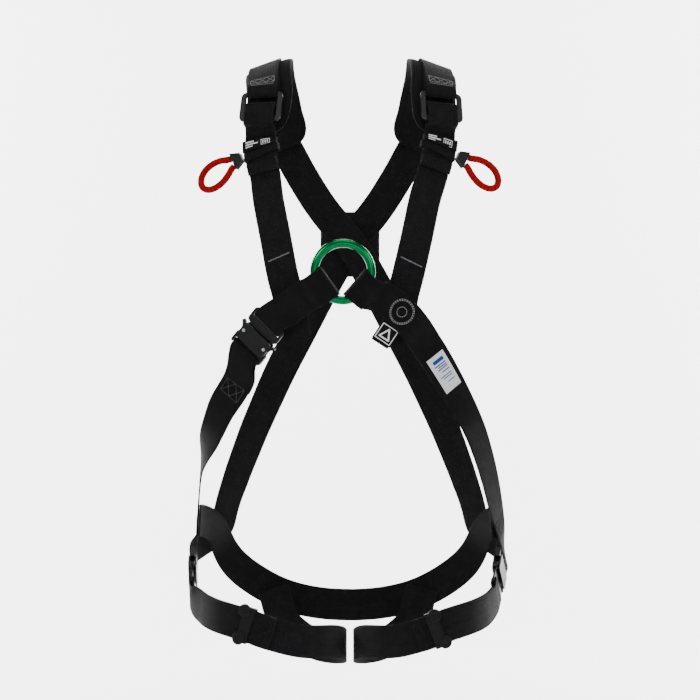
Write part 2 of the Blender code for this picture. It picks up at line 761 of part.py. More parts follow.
def ring_bench(side=0):
    centre = front(RING_X, RING_Z)
    normal = gradient(torso, centre).normalized()
    along = CHEST[side].axes(30)[0] if side else Vector((1, 0, 0))
    return Bench(centre + normal * RING_OFF, along, normal)


RING_FOLD = ((50, -5), (43, -6.3), (36, -7.2), (28, -6.9), (22.4, -5), (19.7, 0), (22.4, 5), (28, 6.9),
             (36, 7.2), (44, 6.6))


def ring_fold(side):
    """Stations of the webbing folded round the ring: its short end under, then over."""
    bench = ring_bench(side)
    across = same_way(bench, CHEST[side].axes(30)[1])
    return [(bench.place(u, 0, n), across) for u, n in RING_FOLD]


def sternal_ring():
    bpy.ops.mesh.primitive_torus_add(
        major_segments=40, minor_segments=12,
        major_radius=(RING_OD / 2 - RING_TUBE) * MM, minor_radius=RING_TUBE * MM,
    )
    made = bpy.context.object
    mesh = made.data
    bpy.data.objects.remove(made)
    ring = keep("sternal_ring", mesh, "green_metal")
    ring.matrix_world = ring_bench().matrix()
    smooth(ring)


def chest_band_right():
    """From the ring, over the front strap, to the chest buckle's tongue and back under itself."""
    path, bench = CHEST[-1], chest_bench()
    s_tongue = path.nearest(front(*CHEST_BUCKLE))
    s_cross = path.nearest(front(*CROSSING[-1]))
    s_bar = s_tongue - TONGUE_DEEP + 1
    lifts = [(54, 16.2), (s_cross, 13.4), (s_bar, path.rise(s_bar, bench, FOLD_N))]
    across = same_way(bench, path.axes(s_tongue - 20)[1])
    u_bar = 1 - TONGUE_DEEP
    docks = [(s_bar, bench.place(u_bar, 0, FOLD_N), across)]
    stations = ring_fold(-1) + ply(path, 54, s_bar, lifts, 7, docks)
    stations += tongue_fold(bench, across)[::-1]
    lifts = [(s_cross - 2, 7.8), (s_bar - 12, 8.4), (s_bar, path.rise(s_bar, bench, -FOLD_N))]
    docks = [(s_bar, bench.place(u_bar, 0, -FOLD_N), across)]
    stations += ply(path, s_bar, s_cross - 2, lifts, 4, docks)
    ribbon("chest_band_right", stations)


def side_strap_right():
    """From the hip up the side to the chest buckle's receiver, round its bar and back under itself."""
    path, bench = CHEST[-1], chest_bench()
    s_roll = path.nearest(front(*CHEST_BUCKLE)) + ROLL_U
    s_near = s_roll + 6
    lifts = [
        (s_near, path.rise(s_near, bench, ROLL_N)), (s_roll + 56, 7), (s_roll + 95, 9),
        (path.length - 80, ON_SEAT), (path.length, ON_SEAT),
    ]
    across = same_way(bench, path.axes(s_roll)[1])
    docks = [(s_near, bench.place(ROLL_U + 6, 0, ROLL_N), across)]
    stations = ply(path, path.length, s_near, lifts, 24, docks)
    stations += receiver_roll(bench, across)
    lifts = [(s_near, path.rise(s_near, bench, -ROLL_N)), (s_roll + 50, 4)]
    docks = [(s_near, bench.place(ROLL_U + 6, 0, -ROLL_N), across)]
    stations += ply(path, s_near, s_roll + 50, lifts, 5, docks)
    ribbon("side_strap_right", stations)


def chest_strap_left():
    """One piece from the ring, over the front strap and down the side to the hip."""
    path = CHEST[1]
    ribbon("chest_strap_left", ring_fold(1) + ply(path, 54, path.length, left_lifts(), 30))


def left_lifts():
    path = CHEST[1]
    s_cross = path.nearest(front(*CROSSING[1]))
    return [
        (54, 14.5), (s_cross, 10.6), (s_cross + 28, 9.6), (s_cross + 62, 4),
        (path.length - 80, ON_SEAT), (path.length, ON_SEAT),
    ]


def labels():
    """The folded tag below the left band, and the maker's label sewn on the left side strap."""
    corner = front(46, -364)
    normal = gradient(torso, corner).normalized()
    down = Vector((-0.55, 0, -0.83))
    bench = Bench(corner + normal * 6.3, down, normal)
    plate("attachment_tag", bench, [rounded(-18, 13, -13.5, 13.5, 1)], -0.8, 0.8, "label")
    path = CHEST[1]
    s = path.nearest(front(120, -412))
    gap = WEB_THICK / 2 + 1.1
    rows = [
        [path.place(s + u, w, height(left_lifts(), s + u) + gap) for w in (-14, 14)]
        for u in range(-26, 27, 4)
    ]
    sheet("maker_label", rows, 0.6, "label")


# ---------------------------------------------------------------- legs and seat

def leg_strap(side):
    """From the seat strap between the legs and round the thigh to the hip buckle, its tail outside."""
    path, bench, word = LEG[side], hip_bench(side), SIDES[side]
    near = path.nearest(flank(side, HIP_Y - TONGUE_DEEP * math.sqrt(0.5), HIP_Z - TONGUE_DEEP * math.sqrt(0.5)))
    inner, outer = path.rise(near, bench, -FOLD_N), path.rise(near, bench, FOLD_N)
    lifts = [(near, inner), (near + 45, SKIN), (path.length - 90, SKIN), (path.length, 6)]
    across = same_way(bench, path.axes(near)[1])
    docks = [(near, bench.place(-TONGUE_DEEP, 0, -FOLD_N), across)]
    stations = ply(path, path.length, near, lifts, 42, docks)
    stations += tongue_fold(bench, across)
    s_tail = leg_spot(side, TAIL_X[side])
    lifts = [(near, outer), (near + 45, SKIN + PLY_STEP + 0.2), (s_tail, SKIN + PLY_STEP + 0.2)]
    docks = [(near, bench.place(-TONGUE_DEEP, 0, FOLD_N), across)]
    stations += ply(path, near, s_tail, lifts, 12, docks)
    ribbon(f"leg_strap_{word}", stations)


TAIL_X = {-1: -99, 1: 87}
LEG_KEEPER_X = {-1: -132, 1: 109}


def leg_spot(side, x):
    path = LEG[side]
    return min(
        (s for p, s in zip(path.points, path.lengths) if p.y < -40),
        key=lambda s: abs(path.spot(s).x - x),
    )


def leg_keeper(side):
    path, word = LEG[side], SIDES[side]
    s = leg_spot(side, LEG_KEEPER_X[side])
    half = WEB_WIDTH / 2 + 1.6
    wrap(f"leg_keeper_{word}", path, s - 7, s + 7, -half, half, 0.3, 9.2, 1.4, "plastic")


SEAT_FRONT = {-1: -18, 1: -50}             # how far forward each end of the seat strap reaches


def seat_half(side):
    rows = ((SEAT_FRONT[side], -611), (8, -611), (38, -614), (64, -626))
    sides = [flank(side, y, z) for y, z in rows]
    return sides + [back(side * x, z) for x, z in ((160, -664), (135, -690), (95, -714), (50, -727))]


def seat_strap():
    """Behind the thighs, its two ends running forward under the side straps, which are sewn to it."""
    path = Path(seat_half(1) + [back(0, -731)] + seat_half(-1)[::-1])
    ribbon("seat_strap", ply(path, 0, path.length, SKIN, 38))


# ---------------------------------------------------------------- dorsal attachment

DORSAL_Z = -240
DORSAL_OFF = 15.5
D_BAR_U, D_BAR_N, D_RADIUS = 26, 8.5, 4.0


def dorsal():
    """A plate over the crossing of the straps, with two lugs that hold the D-ring's bar."""
    up, out = Vector((0, 0, 1)), Vector((0, 1, 0))
    bench = Bench(back(0, DORSAL_Z) + out * DORSAL_OFF, up, out)
    body = plate("dorsal_plate", bench, [rounded(-46, 42, -40, 40, 16, 4)], -1.5, 1.5, "plastic")
    for v in (-18, 18):
        origin = bench.place(0, v)
        cross = Bench(origin, up, bench.v)
        facing = 1 if cross.v.dot(out) > 0 else -1
        block = rounded(D_BAR_U - 7, D_BAR_U + 7, *sorted((0.5 * facing, 15 * facing)), 1.5, 2)
        hole = circle(D_BAR_U, D_BAR_N * facing, D_RADIUS + 0.35, 16)
        join(body, plate(f"dorsal_lug_{v}", cross, [block, hole], -4, 4, "plastic"))
    points = [(D_BAR_U, -24), (D_BAR_U, -8), (D_BAR_U, 8), (D_BAR_U, 24), (D_BAR_U - 3, 30), (D_BAR_U - 9, 33)]
    for k in range(13):
        a = math.radians(180 * k / 12)
        points.append((10 - 30 * math.sin(a), 33 * math.cos(a)))
    points += [(D_BAR_U - 9, -33), (D_BAR_U - 3, -30)]
    tube("dorsal_ring", [bench.place(u, v, D_BAR_N) for u, v in points], D_RADIUS, "steel", closed=True)


# ---------------------------------------------------------------- the harness

for side in (-1, 1):
    shoulder_pad(side)
    shoulder_adjuster(side)
    yoke_strap(side)
    front_strap(side)
    keepers(side)
    parking_loop(side)
    leg_strap(side)
    leg_keeper(side)
    quick_connect(hip_bench(side), f"hip_{SIDES[side]}")
quick_connect(chest_bench(), "chest")
sternal_ring()
chest_band_right()
side_strap_right()
chest_strap_left()
labels()
seat_strap()
dorsal()
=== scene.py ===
"""Looks of the full-body climbing harness: webbing, stitching, pads, labels and metal, in the CAD's frame.

Lengths are in millimetres and turned into metres by MM, as in the CAD source. Each strap follows the same
Path on the wearer's form as its solid does, but is drawn finely, with selvedges, weave and sewing.
"""

import math

import bmesh
import bpy
from mathutils import Matrix, Vector


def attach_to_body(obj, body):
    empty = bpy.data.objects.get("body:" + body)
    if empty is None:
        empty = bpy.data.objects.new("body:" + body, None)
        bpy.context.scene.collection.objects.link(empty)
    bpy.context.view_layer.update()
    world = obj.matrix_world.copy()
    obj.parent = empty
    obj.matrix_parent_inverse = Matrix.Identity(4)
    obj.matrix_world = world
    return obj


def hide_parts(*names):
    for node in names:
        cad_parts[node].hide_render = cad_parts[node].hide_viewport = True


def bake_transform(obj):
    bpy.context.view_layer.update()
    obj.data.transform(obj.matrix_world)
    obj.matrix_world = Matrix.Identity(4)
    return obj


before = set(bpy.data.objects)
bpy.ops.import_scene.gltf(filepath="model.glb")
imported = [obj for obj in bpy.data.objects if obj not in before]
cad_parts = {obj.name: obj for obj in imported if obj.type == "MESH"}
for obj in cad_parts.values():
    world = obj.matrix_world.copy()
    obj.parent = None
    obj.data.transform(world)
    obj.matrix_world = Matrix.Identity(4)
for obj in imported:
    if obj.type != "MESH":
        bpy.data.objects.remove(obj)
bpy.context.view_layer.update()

MM = 0.001

# Webbing
WEB_WIDTH = 43.0
WEB_THICK = 2.0
FOLD_SPACE = 0.5           # air between a bar and the webbing folded round it

# Wearer's form: height, half width, depth to the front, depth to the back
GIRTHS = (
    (-120, 170, 104, 95), (-200, 175, 124, 115), (-280, 174, 130, 112), (-360, 168, 121, 98),
    (-440, 173, 113, 92), (-500, 184, 112, 100), (-560, 192, 113, 114), (-620, 196, 114, 126),
    (-700, 199, 113, 129), (-780, 203, 108, 122),
)
THIGHS = {-1: (102, 94), 1: (96, 88)}     # middle and half width; the wearer stands a little askew
ROUNDNESS = 2.3            # exponent of the form's superellipse sections
ARMPIT_Z = -120            # above this the form closes over the shoulders
SHOULDER_X = 104
SHOULDER_Z = -18
SHOULDER_FALL = 0.36       # how fast the shoulder drops outward

DOCK_REACH = 30.0          # length over which a strap swings into line with its hardware

# Layers, as distances off the form
SKIN = 3.0                 # a strap that lies on the body
PAD_LIFT = 5.0
OVER_PAD = 11.6
ON_SEAT = 5.9              # a side strap sewn on the end of the seat strap

# Sternal ring
RING_OD = 84.0
RING_TUBE = 5.5
RING_X, RING_Z = -9, -285
RING_OFF = 10.0

# Quick-connect buckle, measured along its pull from the tongue's shoulder
TONGUE_DEEP = 23.0
TONGUE_THICK = 2.6
TONGUE_BAR = 9.0
ROLL_U = 33.0              # the receiver's webbing bar
ROLL_R = 2.3
CHEST_OFF = 10.5

# ---------------------------------------------------------------- the wearer's form

def girth(z):
    """Half width, front and back depth of the form at a height, on smooth curves through GIRTHS."""
    rows = GIRTHS[::-1]
    z = min(max(z, rows[0][0]), rows[-1][0])
    i = max(k for k in range(len(rows) - 1) if rows[k][0] <= z)
    low, high = rows[i], rows[i + 1]
    step = high[0] - low[0]
    t = (z - low[0]) / step

    def slope(k, column):
        before, after = rows[max(k - 1, 0)], rows[min(k + 1, len(rows) - 1)]
        return (after[column] - before[column]) / (after[0] - before[0])

    return [
        (2 * t**3 - 3 * t**2 + 1) * low[c] + (t**3 - 2 * t**2 + t) * step * slope(i, c)
        + (3 * t**2 - 2 * t**3) * high[c] + (t**3 - t**2) * step * slope(i + 1, c)
        for c in (1, 2, 3)
    ]


def shoulder_term(x, z, half):
    """How much of the superellipse's sum the height takes up above the armpit."""
    if z <= ARMPIT_Z:
        return 0.0
    across = min(abs(x) / half, 0.86) ** ROUNDNESS
    top = SHOULDER_Z - SHOULDER_FALL * (min(abs(x), 150) - SHOULDER_X)
    high = (top - ARMPIT_Z) / (1 - across) ** (1 / ROUNDNESS)
    return ((z - ARMPIT_Z) / high) ** ROUNDNESS


def torso(p):
    half, front, back = girth(p.z)
    deep = front if p.y < 0 else back
    total = (abs(p.x) / half) ** ROUNDNESS + (abs(p.y) / deep) ** ROUNDNESS
    return (total + shoulder_term(p.x, p.z, half)) ** (1 / ROUNDNESS) - 1


def thigh(side):
    """The form of one thigh, an upright oval. side is -1 for the wearer's right, +1 for the left."""
    centre, half = THIGHS[side]

    def form(p):
        return math.hypot((p.x - side * centre) / half, (p.y + 5) / 105) - 1
    return form


def gradient(form, p):
    step = 0.5
    axes = (Vector((step, 0, 0)), Vector((0, step, 0)), Vector((0, 0, step)))
    return Vector([(form(p + a) - form(p - a)) / (2 * step) for a in axes])


def settle(form, p):
    for _ in range(6):
        g = gradient(form, p)
        p = p - g * (form(p) / g.length_squared)
    return p


def front(x, z):
    half, deep, _ = girth(z)
    rest = 1 - (abs(x) / half) ** ROUNDNESS - shoulder_term(x, z, half)
    return Vector((x, -deep * max(rest, 0.0) ** (1 / ROUNDNESS), z))


def back(x, z):
    half, _, deep = girth(z)
    rest = 1 - (abs(x) / half) ** ROUNDNESS - shoulder_term(x, z, half)
    return Vector((x, deep * max(rest, 0.0) ** (1 / ROUNDNESS), z))


def flank(side, y, z):
    half, deep_front, deep_back = girth(z)
    deep = deep_front if y < 0 else deep_back
    return Vector((side * half * (1 - (abs(y) / deep) ** ROUNDNESS) ** (1 / ROUNDNESS), y, z))


# ---------------------------------------------------------------- paths and places near them

def spline(a, b, c, d, t):
    """Catmull-Rom point between b and c."""
    return 0.5 * (2 * b + (c - a) * t + (2 * a - 5 * b + 4 * c - d) * t**2 + (3 * b - a - 3 * c + d) * t**3)


class Path:
    """A curve on a form, measured by its length. Its across direction is along x normal."""

    STEPS = 16

    def __init__(self, knots, form=torso, turns=()):
        ends = [2 * knots[0] - knots[1], *knots, 2 * knots[-1] - knots[-2]]
        raw = [
            spline(*ends[i:i + 4], k / self.STEPS)
            for i in range(len(knots) - 1) for k in range(self.STEPS)
        ] + [knots[-1]]
        self.form = form
        self.points = [settle(form, p) for p in raw]
        self.lengths = [0.0]
        for p, q in zip(self.points, self.points[1:]):
            self.lengths.append(self.lengths[-1] + (q - p).length)
        self.length = self.lengths[-1]
        self.turns = [(self.nearest(p), degrees) for p, degrees in turns]

    def spot(self, s):
        if s <= 0:
            return self.points[0] + (self.points[1] - self.points[0]).normalized() * s
        if s >= self.length:
            last = (self.points[-1] - self.points[-2]).normalized()
            return self.points[-1] + last * (s - self.length)
        i = next(k for k in range(len(self.lengths) - 1) if self.lengths[k + 1] >= s)
        t = (s - self.lengths[i]) / (self.lengths[i + 1] - self.lengths[i])
        return self.points[i].lerp(self.points[i + 1], t)

    def axes(self, s):
        along = (self.spot(s + 5) - self.spot(s - 5)).normalized()
        normal = gradient(self.form, self.spot(s)).normalized()
        normal = (normal - along * normal.dot(along)).normalized()
        if self.turns:
            normal = Matrix.Rotation(math.radians(height(self.turns, s)), 3, along) @ normal
        return along, along.cross(normal), normal

    def place(self, s, w=0.0, h=0.0):
        _, across, normal = self.axes(s)
        return self.spot(s) + across * w + normal * h

    def nearest(self, p):
        i = min(range(len(self.points)), key=lambda k: (self.points[k] - p).length)
        return self.lengths[i]

    def bench(self, s, h=0.0):
        """A flat frame standing on the path, for rigid hardware."""
        along, _, normal = self.axes(s)
        return Bench(self.spot(s) + normal * h, along, normal)

    def rise(self, s, bench, n):
        """The lift off this path at s that comes level with height n of a bench."""
        return (bench.place(0, 0, n) - self.spot(s)).dot(bench.n)


class Bench:
    """A flat right-handed frame: u along, v across, n off the body."""

    def __init__(self, origin, along, normal):
        self.origin = origin
        self.n = normal.normalized()
        self.u = (along - self.n * along.dot(self.n)).normalized()
        self.v = self.n.cross(self.u)

    def place(self, u, v=0.0, n=0.0):
        return self.origin + self.u * u + self.v * v + self.n * n


def ply(path, start, end, lift, count, docks=()):
    """Stations along a path. lift is a number, or a list of (s, h) pairs joined smoothly. A dock
    (s, point, across) draws the strap over to a place on some hardware."""
    stations = []
    for k in range(count + 1):
        s = start + (end - start) * k / count
        _, across, _ = path.axes(s)
        point = path.place(s, 0, height(lift, s))
        for s_dock, target, target_across in docks:
            pull = max(0.0, 1 - abs(s - s_dock) / DOCK_REACH)
            pull = pull * pull * (3 - 2 * pull)
            point = point + (target - path.place(s_dock, 0, height(lift, s_dock))) * pull
            across = across.lerp(target_across, pull).normalized()
        stations.append((point, across))
    return stations


def height(lift, s):
    if isinstance(lift, (int, float)):
        return lift
    pairs = sorted(lift)
    if s <= pairs[0][0]:
        return pairs[0][1]
    if s >= pairs[-1][0]:
        return pairs[-1][1]
    (s0, h0), (s1, h1) = next(p for p in zip(pairs, pairs[1:]) if p[1][0] >= s)
    t = (s - s0) / (s1 - s0)
    return h0 + (h1 - h0) * t * t * (3 - 2 * t)


def turn_round(bench, u, n, reach_u, reach_n, start, end, across, count=6):
    """Stations of a fold round a bar: an arc in the bench's u-n plane, angles in degrees from +u."""
    stations = []
    for k in range(count + 1):
        angle = math.radians(start + (end - start) * k / count)
        p = bench.place(u + reach_u * math.cos(angle), 0, n + reach_n * math.sin(angle))
        stations.append((p, across))
    return stations


def rounded(u0, u1, v0, v1, radius, steps=3):
    """Outline points of a rectangle with round corners, from the one at (u1, v0) round to (u0, v0)."""
    points = []
    corners = ((u1, v0, 270), (u1, v1, 0), (u0, v1, 90), (u0, v0, 180))
    for u, v, start in corners:
        cu = u - radius if u == u1 else u + radius
        cv = v - radius if v == v1 else v + radius
        for k in range(steps + 1):
            a = math.radians(start + 90 * k / steps)
            points.append((cu + radius * math.cos(a), cv + radius * math.sin(a)))
    return points


# ---------------------------------------------------------------- materials

class Look:
    """A node material under construction."""

    def __init__(self, name, base, roughness, metallic=0.0):
        self.material = bpy.data.materials.new(name)
        self.material.use_nodes = True
        self.tree = self.material.node_tree
        self.shader = self.tree.nodes["Principled BSDF"]
        self.shader.inputs["Base Color"].default_value = (*base, 1)
        self.shader.inputs["Roughness"].default_value = roughness
        self.shader.inputs["Metallic"].default_value = metallic

    def add(self, kind, **settings):
        node = self.tree.nodes.new(kind)
        for key, value in settings.items():
            setattr(node, key, value)
        return node

    def link(self, source, target):
        self.tree.links.new(source, target)

    def math(self, operation, a, b=None):
        node = self.add("ShaderNodeMath", operation=operation)
        for slot, value in enumerate((a, b)):
            if value is None:
                continue
            if isinstance(value, (int, float)):
                node.inputs[slot].default_value = value
            else:
                self.link(value, node.inputs[slot])
        return node.outputs[0]

    def strap_place(self):
        """Millimetres along and across, from the mesh's UVs, which are in centimetres."""
        split = self.add("ShaderNodeSeparateXYZ")
        self.link(self.add("ShaderNodeUVMap", uv_map="UVMap").outputs[0], split.inputs[0])
        return self.math("MULTIPLY", split.outputs[0], 10), self.math("MULTIPLY", split.outputs[1], 10)

    def noise(self, scale, detail=4, rough=0.6):
        node = self.add("ShaderNodeTexNoise")
        node.inputs["Scale"].default_value = scale
        node.inputs["Detail"].default_value = detail
        node.inputs["Roughness"].default_value = rough
        self.link(self.add("ShaderNodeTexCoord").outputs["Object"], node.inputs["Vector"])
        return node.outputs[0]

    def blend_color(self, factor, low, high):
        ramp = self.add("ShaderNodeValToRGB")
        ramp.color_ramp.elements[0].color = (*low, 1)
        ramp.color_ramp.elements[1].color = (*high, 1)
        self.link(factor, ramp.inputs[0])
        self.link(ramp.outputs[0], self.shader.inputs["Base Color"])

    def vary_roughness(self, factor, low, high):
        spread = self.add("ShaderNodeMapRange")
        spread.inputs["To Min"].default_value = low
        spread.inputs["To Max"].default_value = high
        self.link(factor, spread.inputs["Value"])
        self.link(spread.outputs[0], self.shader.inputs["Roughness"])

    def bump(self, height_value, strength, distance_mm):
        node = self.add("ShaderNodeBump")
        node.inputs["Strength"].default_value = strength
        node.inputs["Distance"].default_value = distance_mm * MM
        self.link(height_value, node.inputs["Height"])
        self.link(node.outputs[0], self.shader.inputs["Normal"])


def webbing_look(name, chevron, dark, light, rib=1.9):
    """Woven polyester: ribs across the strap, in a zigzag where chevron is above 0, and fine yarns."""
    look = Look(name, dark, 0.7)
    along, across = look.strap_place()
    zigzag = look.math("MULTIPLY", look.math("PINGPONG", across, 5.4), chevron)
    rib_phase = look.math("MULTIPLY", look.math("ADD", along, zigzag), math.tau / rib)
    ribs = look.math("SINE", rib_phase)
    yarns = look.math("SINE", look.math("MULTIPLY", across, math.tau / 1.1))
    cross = look.math("MULTIPLY", yarns, look.math("SINE", look.math("MULTIPLY", along, math.tau / 1.3)))
    edge = look.math("GREATER_THAN", look.math("ABSOLUTE", across), WEB_WIDTH / 2 - 2.2)
    weave = look.math("ADD", look.math("MULTIPLY", ribs, 0.6), look.math("MULTIPLY", cross, 0.4))
    weave = look.math("ADD", weave, look.math("MULTIPLY", edge, 0.5))
    look.bump(weave, 1.0, 0.7)
    wear = look.noise(90)
    tone = look.math("ADD", look.math("MULTIPLY", weave, 0.3), look.math("MULTIPLY", wear, 0.8))
    look.blend_color(tone, dark, light)
    look.vary_roughness(wear, 0.5, 0.75)
    look.shader.inputs["Specular IOR Level"].default_value = 0.1
    look.shader.inputs["Sheen Weight"].default_value = 0.01
    look.shader.inputs["Sheen Roughness"].default_value = 0.4
    return look.material


def cloth_look(name, dark, light, cell=2.4, roughness=0.85):
    """Mesh cloth with round open cells."""
    look = Look(name, dark, roughness)
    along, across = look.strap_place()
    a = look.math("SINE", look.math("MULTIPLY", along, math.tau / cell))
    b = look.math("SINE", look.math("MULTIPLY", across, math.tau / cell))
    cells = look.math("MULTIPLY", a, b)
    look.bump(cells, 0.5, 0.4)
    fibres = look.noise(220)
    look.blend_color(look.math("ADD", look.math("MULTIPLY", cells, 0.2), fibres), dark, light)
    look.vary_roughness(fibres, roughness - 0.1, roughness)
    look.shader.inputs["Specular IOR Level"].default_value = 0.1
    look.shader.inputs["Sheen Weight"].default_value = 0.01
    return look.material


def metal_look(name, base, light, roughness, metallic, grain=350, depth=0.03, shine=0.5):
    look = Look(name, base, roughness, metallic)
    look.shader.inputs["Specular IOR Level"].default_value = shine
    grain_value = look.noise(grain, 6)
    look.blend_color(grain_value, base, light)
    look.vary_roughness(look.noise(60), roughness * 0.75, roughness * 1.25)
    look.bump(grain_value, 0.25, depth)
    return look.material


def braid_look(name, dark, light):
    """Braided cord: two crossing sets of strands."""
    look = Look(name, dark, 0.55)
    along, around = look.strap_place()
    one = look.math("SINE", look.math("ADD", look.math("MULTIPLY", along, math.tau / 4.6), around))
    two = look.math("SINE", look.math("SUBTRACT", look.math("MULTIPLY", along, math.tau / 4.6), around))
    strands = look.math("MAXIMUM", one, two)
    look.bump(strands, 0.8, 0.5)
    look.blend_color(look.math("MULTIPLY", look.math("ADD", strands, 1), 0.5), dark, light)
    look.vary_roughness(look.noise(300), 0.5, 0.7)
    look.shader.inputs["Specular IOR Level"].default_value = 0.12
    return look.material


def make_looks():
    return {
        "chevron": webbing_look("webbing_chevron", 0.8, (0.0015, 0.0015, 0.0017), (0.016, 0.016, 0.018), 2.6),
        "plain": webbing_look("webbing_plain", 0.0, (0.0015, 0.0015, 0.0017), (0.010, 0.010, 0.011), 1.7),
        "pad": cloth_look("pad_cloth", (0.0018, 0.0018, 0.002), (0.009, 0.009, 0.010)),
        "piping": webbing_look("piping", 0.0, (0.002, 0.002, 0.0022), (0.012, 0.012, 0.013), 1.2),
        "thread": cloth_look("thread_grey", (0.14, 0.14, 0.145), (0.32, 0.32, 0.33), 0.8, 0.7),
        "thread_mid": cloth_look("thread_mid", (0.03, 0.03, 0.032), (0.10, 0.10, 0.105), 0.8, 0.7),
        "thread_dark": cloth_look("thread_dark", (0.008, 0.008, 0.009), (0.03, 0.03, 0.032), 0.8, 0.7),
        "black_metal": metal_look(
            "black_metal", (0.004, 0.004, 0.0045), (0.010, 0.010, 0.011), 0.36, 0.1, shine=0.25
        ),
        "steel": metal_look("steel", (0.42, 0.43, 0.44), (0.62, 0.63, 0.64), 0.28, 1.0),
        "green_metal": metal_look("green_metal", (0.0, 0.13, 0.035), (0.0, 0.20, 0.055), 0.2, 0.9),
        "plastic": metal_look(
            "plastic", (0.002, 0.002, 0.0022), (0.008, 0.008, 0.0085), 0.5, 0.0, 500, 0.05, 0.16
        ),
        "cord": braid_look("red_cord", (0.14, 0.0, 0.0), (0.34, 0.0, 0.001)),
        "label_black": cloth_look("label_black", (0.002, 0.002, 0.002), (0.010, 0.010, 0.010), 0.9, 0.8),
        "label_white": cloth_look("label_white", (0.72, 0.72, 0.73), (0.88, 0.88, 0.89), 0.9),
        "print_white": cloth_look("print_white", (0.72, 0.72, 0.72), (0.9, 0.9, 0.9), 0.7),
        "dark_lever": metal_look("dark_lever", (0.012, 0.012, 0.013), (0.05, 0.05, 0.053), 0.3, 0.9),
        "print_blue": cloth_look("print_blue", (0.01, 0.04, 0.26), (0.02, 0.09, 0.42), 0.7),
    }


# ---------------------------------------------------------------- drawing

STRAPS = {}                # name of each strap: its fine centre line, for placing the sewing
LOOKS = make_looks()
OUTLINE = 10               # faces across a strap


def finish_mesh(name, bm, look):
    mesh = bpy.data.meshes.new(name)
    bm.to_mesh(mesh)
    bm.free()
    mesh.materials.append(LOOKS[look])
    mesh.shade_smooth()
    mesh.set_sharp_from_angle(angle=math.radians(50))
    obj = bpy.data.objects.new(name, mesh)
    bpy.context.scene.collection.objects.link(obj)
    return obj


def loft(name, rings, lengths, turns, look, closed=False):
    """A skin over rings of points, with UVs in centimetres: lengths along and turns round."""
    bm = bmesh.new()
    uv = bm.loops.layers.uv.new("UVMap")
    rows = [[bm.verts.new(p * MM) for p in ring] for ring in rings]
    around = len(rings[0])
    last = len(rows) if closed else len(rows) - 1
    for i in range(last):
        k = (i + 1) % len(rows)
        end = lengths[i + 1] if i + 1 < len(lengths) else lengths[i] + (lengths[1] - lengths[0])
        for j in range(around):
            m = (j + 1) % around
            face = bm.faces.new((rows[i][j], rows[i][m], rows[k][m], rows[k][j]))
            far = turns[j + 1]
            places = ((lengths[i], turns[j]), (lengths[i], far), (end, far), (end, turns[j]))
            for corner, (a, b) in zip(face.loops, places):
                corner[uv].uv = (a / 10, b / 10)
    if not closed:
        for row, s in ((rows[0], lengths[0]), (rows[-1], lengths[-1])):
            face = bm.faces.new(row)
            for corner, t in zip(face.loops, turns):
                corner[uv].uv = (s / 10, t / 10)
    bmesh.ops.recalc_face_normals(bm, faces=bm.faces)
    return finish_mesh(name, bm, look)


def refine(stations, step=2.6):
    """Smooth, evenly fine stations through the solid's ones, with the length at each."""
    points = [p for p, _ in stations]
    gaps = [max((q - p).length, 1e-6) for p, q in zip(points, points[1:])]
    slopes = [(points[1] - points[0]) / gaps[0]]
    for i in range(1, len(points) - 1):
        before, after = gaps[i - 1], gaps[i]
        into, out = (points[i] - points[i - 1]) / before, (points[i + 1] - points[i]) / after
        slopes.append((into * after + out * before) / (before + after))
    slopes.append((points[-1] - points[-2]) / gaps[-1])
    fine = []
    for i, gap in enumerate(gaps):
        count = max(1, math.ceil(gap / step))
        for k in range(count):
            t = k / count
            p = (
                (2 * t**3 - 3 * t**2 + 1) * points[i] + (t**3 - 2 * t**2 + t) * gap * slopes[i]
                + (3 * t**2 - 2 * t**3) * points[i + 1] + (t**3 - t**2) * gap * slopes[i + 1]
            )
            fine.append((p, stations[i][1].lerp(stations[i + 1][1], t).normalized()))
    fine.append(stations[-1])
    lengths = [0.0]
    for (p, _), (q, _) in zip(fine, fine[1:]):
        lengths.append(lengths[-1] + (q - p).length)
    return fine, lengths


class Strap:
    """The fine centre line of a strap, on which sewing and print are placed."""

    def __init__(self, stations, form, thick):
        self.fine, self.lengths = refine(stations)
        self.form = form
        self.thick = thick
        self.normals = []
        for i, (_, across) in enumerate(self.fine):
            p, q = self.fine[max(i - 1, 0)][0], self.fine[min(i + 1, len(self.fine) - 1)][0]
            self.normals.append(across.cross(q - p).normalized())

    def nearest(self, p, outer=True):
        """Length along at the ply nearest to a point, the outermost where plies lie on each other."""
        def score(k):
            away = (self.fine[k][0] - p).length
            return away - (0.6 * self.outward(k).dot(self.fine[k][0] - p) if outer else 0)
        return self.lengths[min(range(len(self.fine)), key=score)]

    def outward(self, k):
        n = self.normals[k]
        return n if n.dot(gradient(self.form, self.fine[k][0])) > 0 else -n

    def spot(self, d, w, lift=0.0):
        """The point at length d, w across and lift above the outer face, with the local axes."""
        d = min(max(d, 0.0), self.lengths[-1])
        i = next((k for k in range(len(self.lengths) - 1) if self.lengths[k + 1] >= d), len(self.lengths) - 2)
        t = (d - self.lengths[i]) / max(self.lengths[i + 1] - self.lengths[i], 1e-6)
        centre = self.fine[i][0].lerp(self.fine[i + 1][0], t)
        across = self.fine[i][1].lerp(self.fine[i + 1][1], t).normalized()
        out = self.outward(i).lerp(self.outward(i + 1), t).normalized()
        along = (self.fine[i + 1][0] - self.fine[i][0]).normalized()
        return centre + across * w + out * (self.thick / 2 + lift), along, across, out


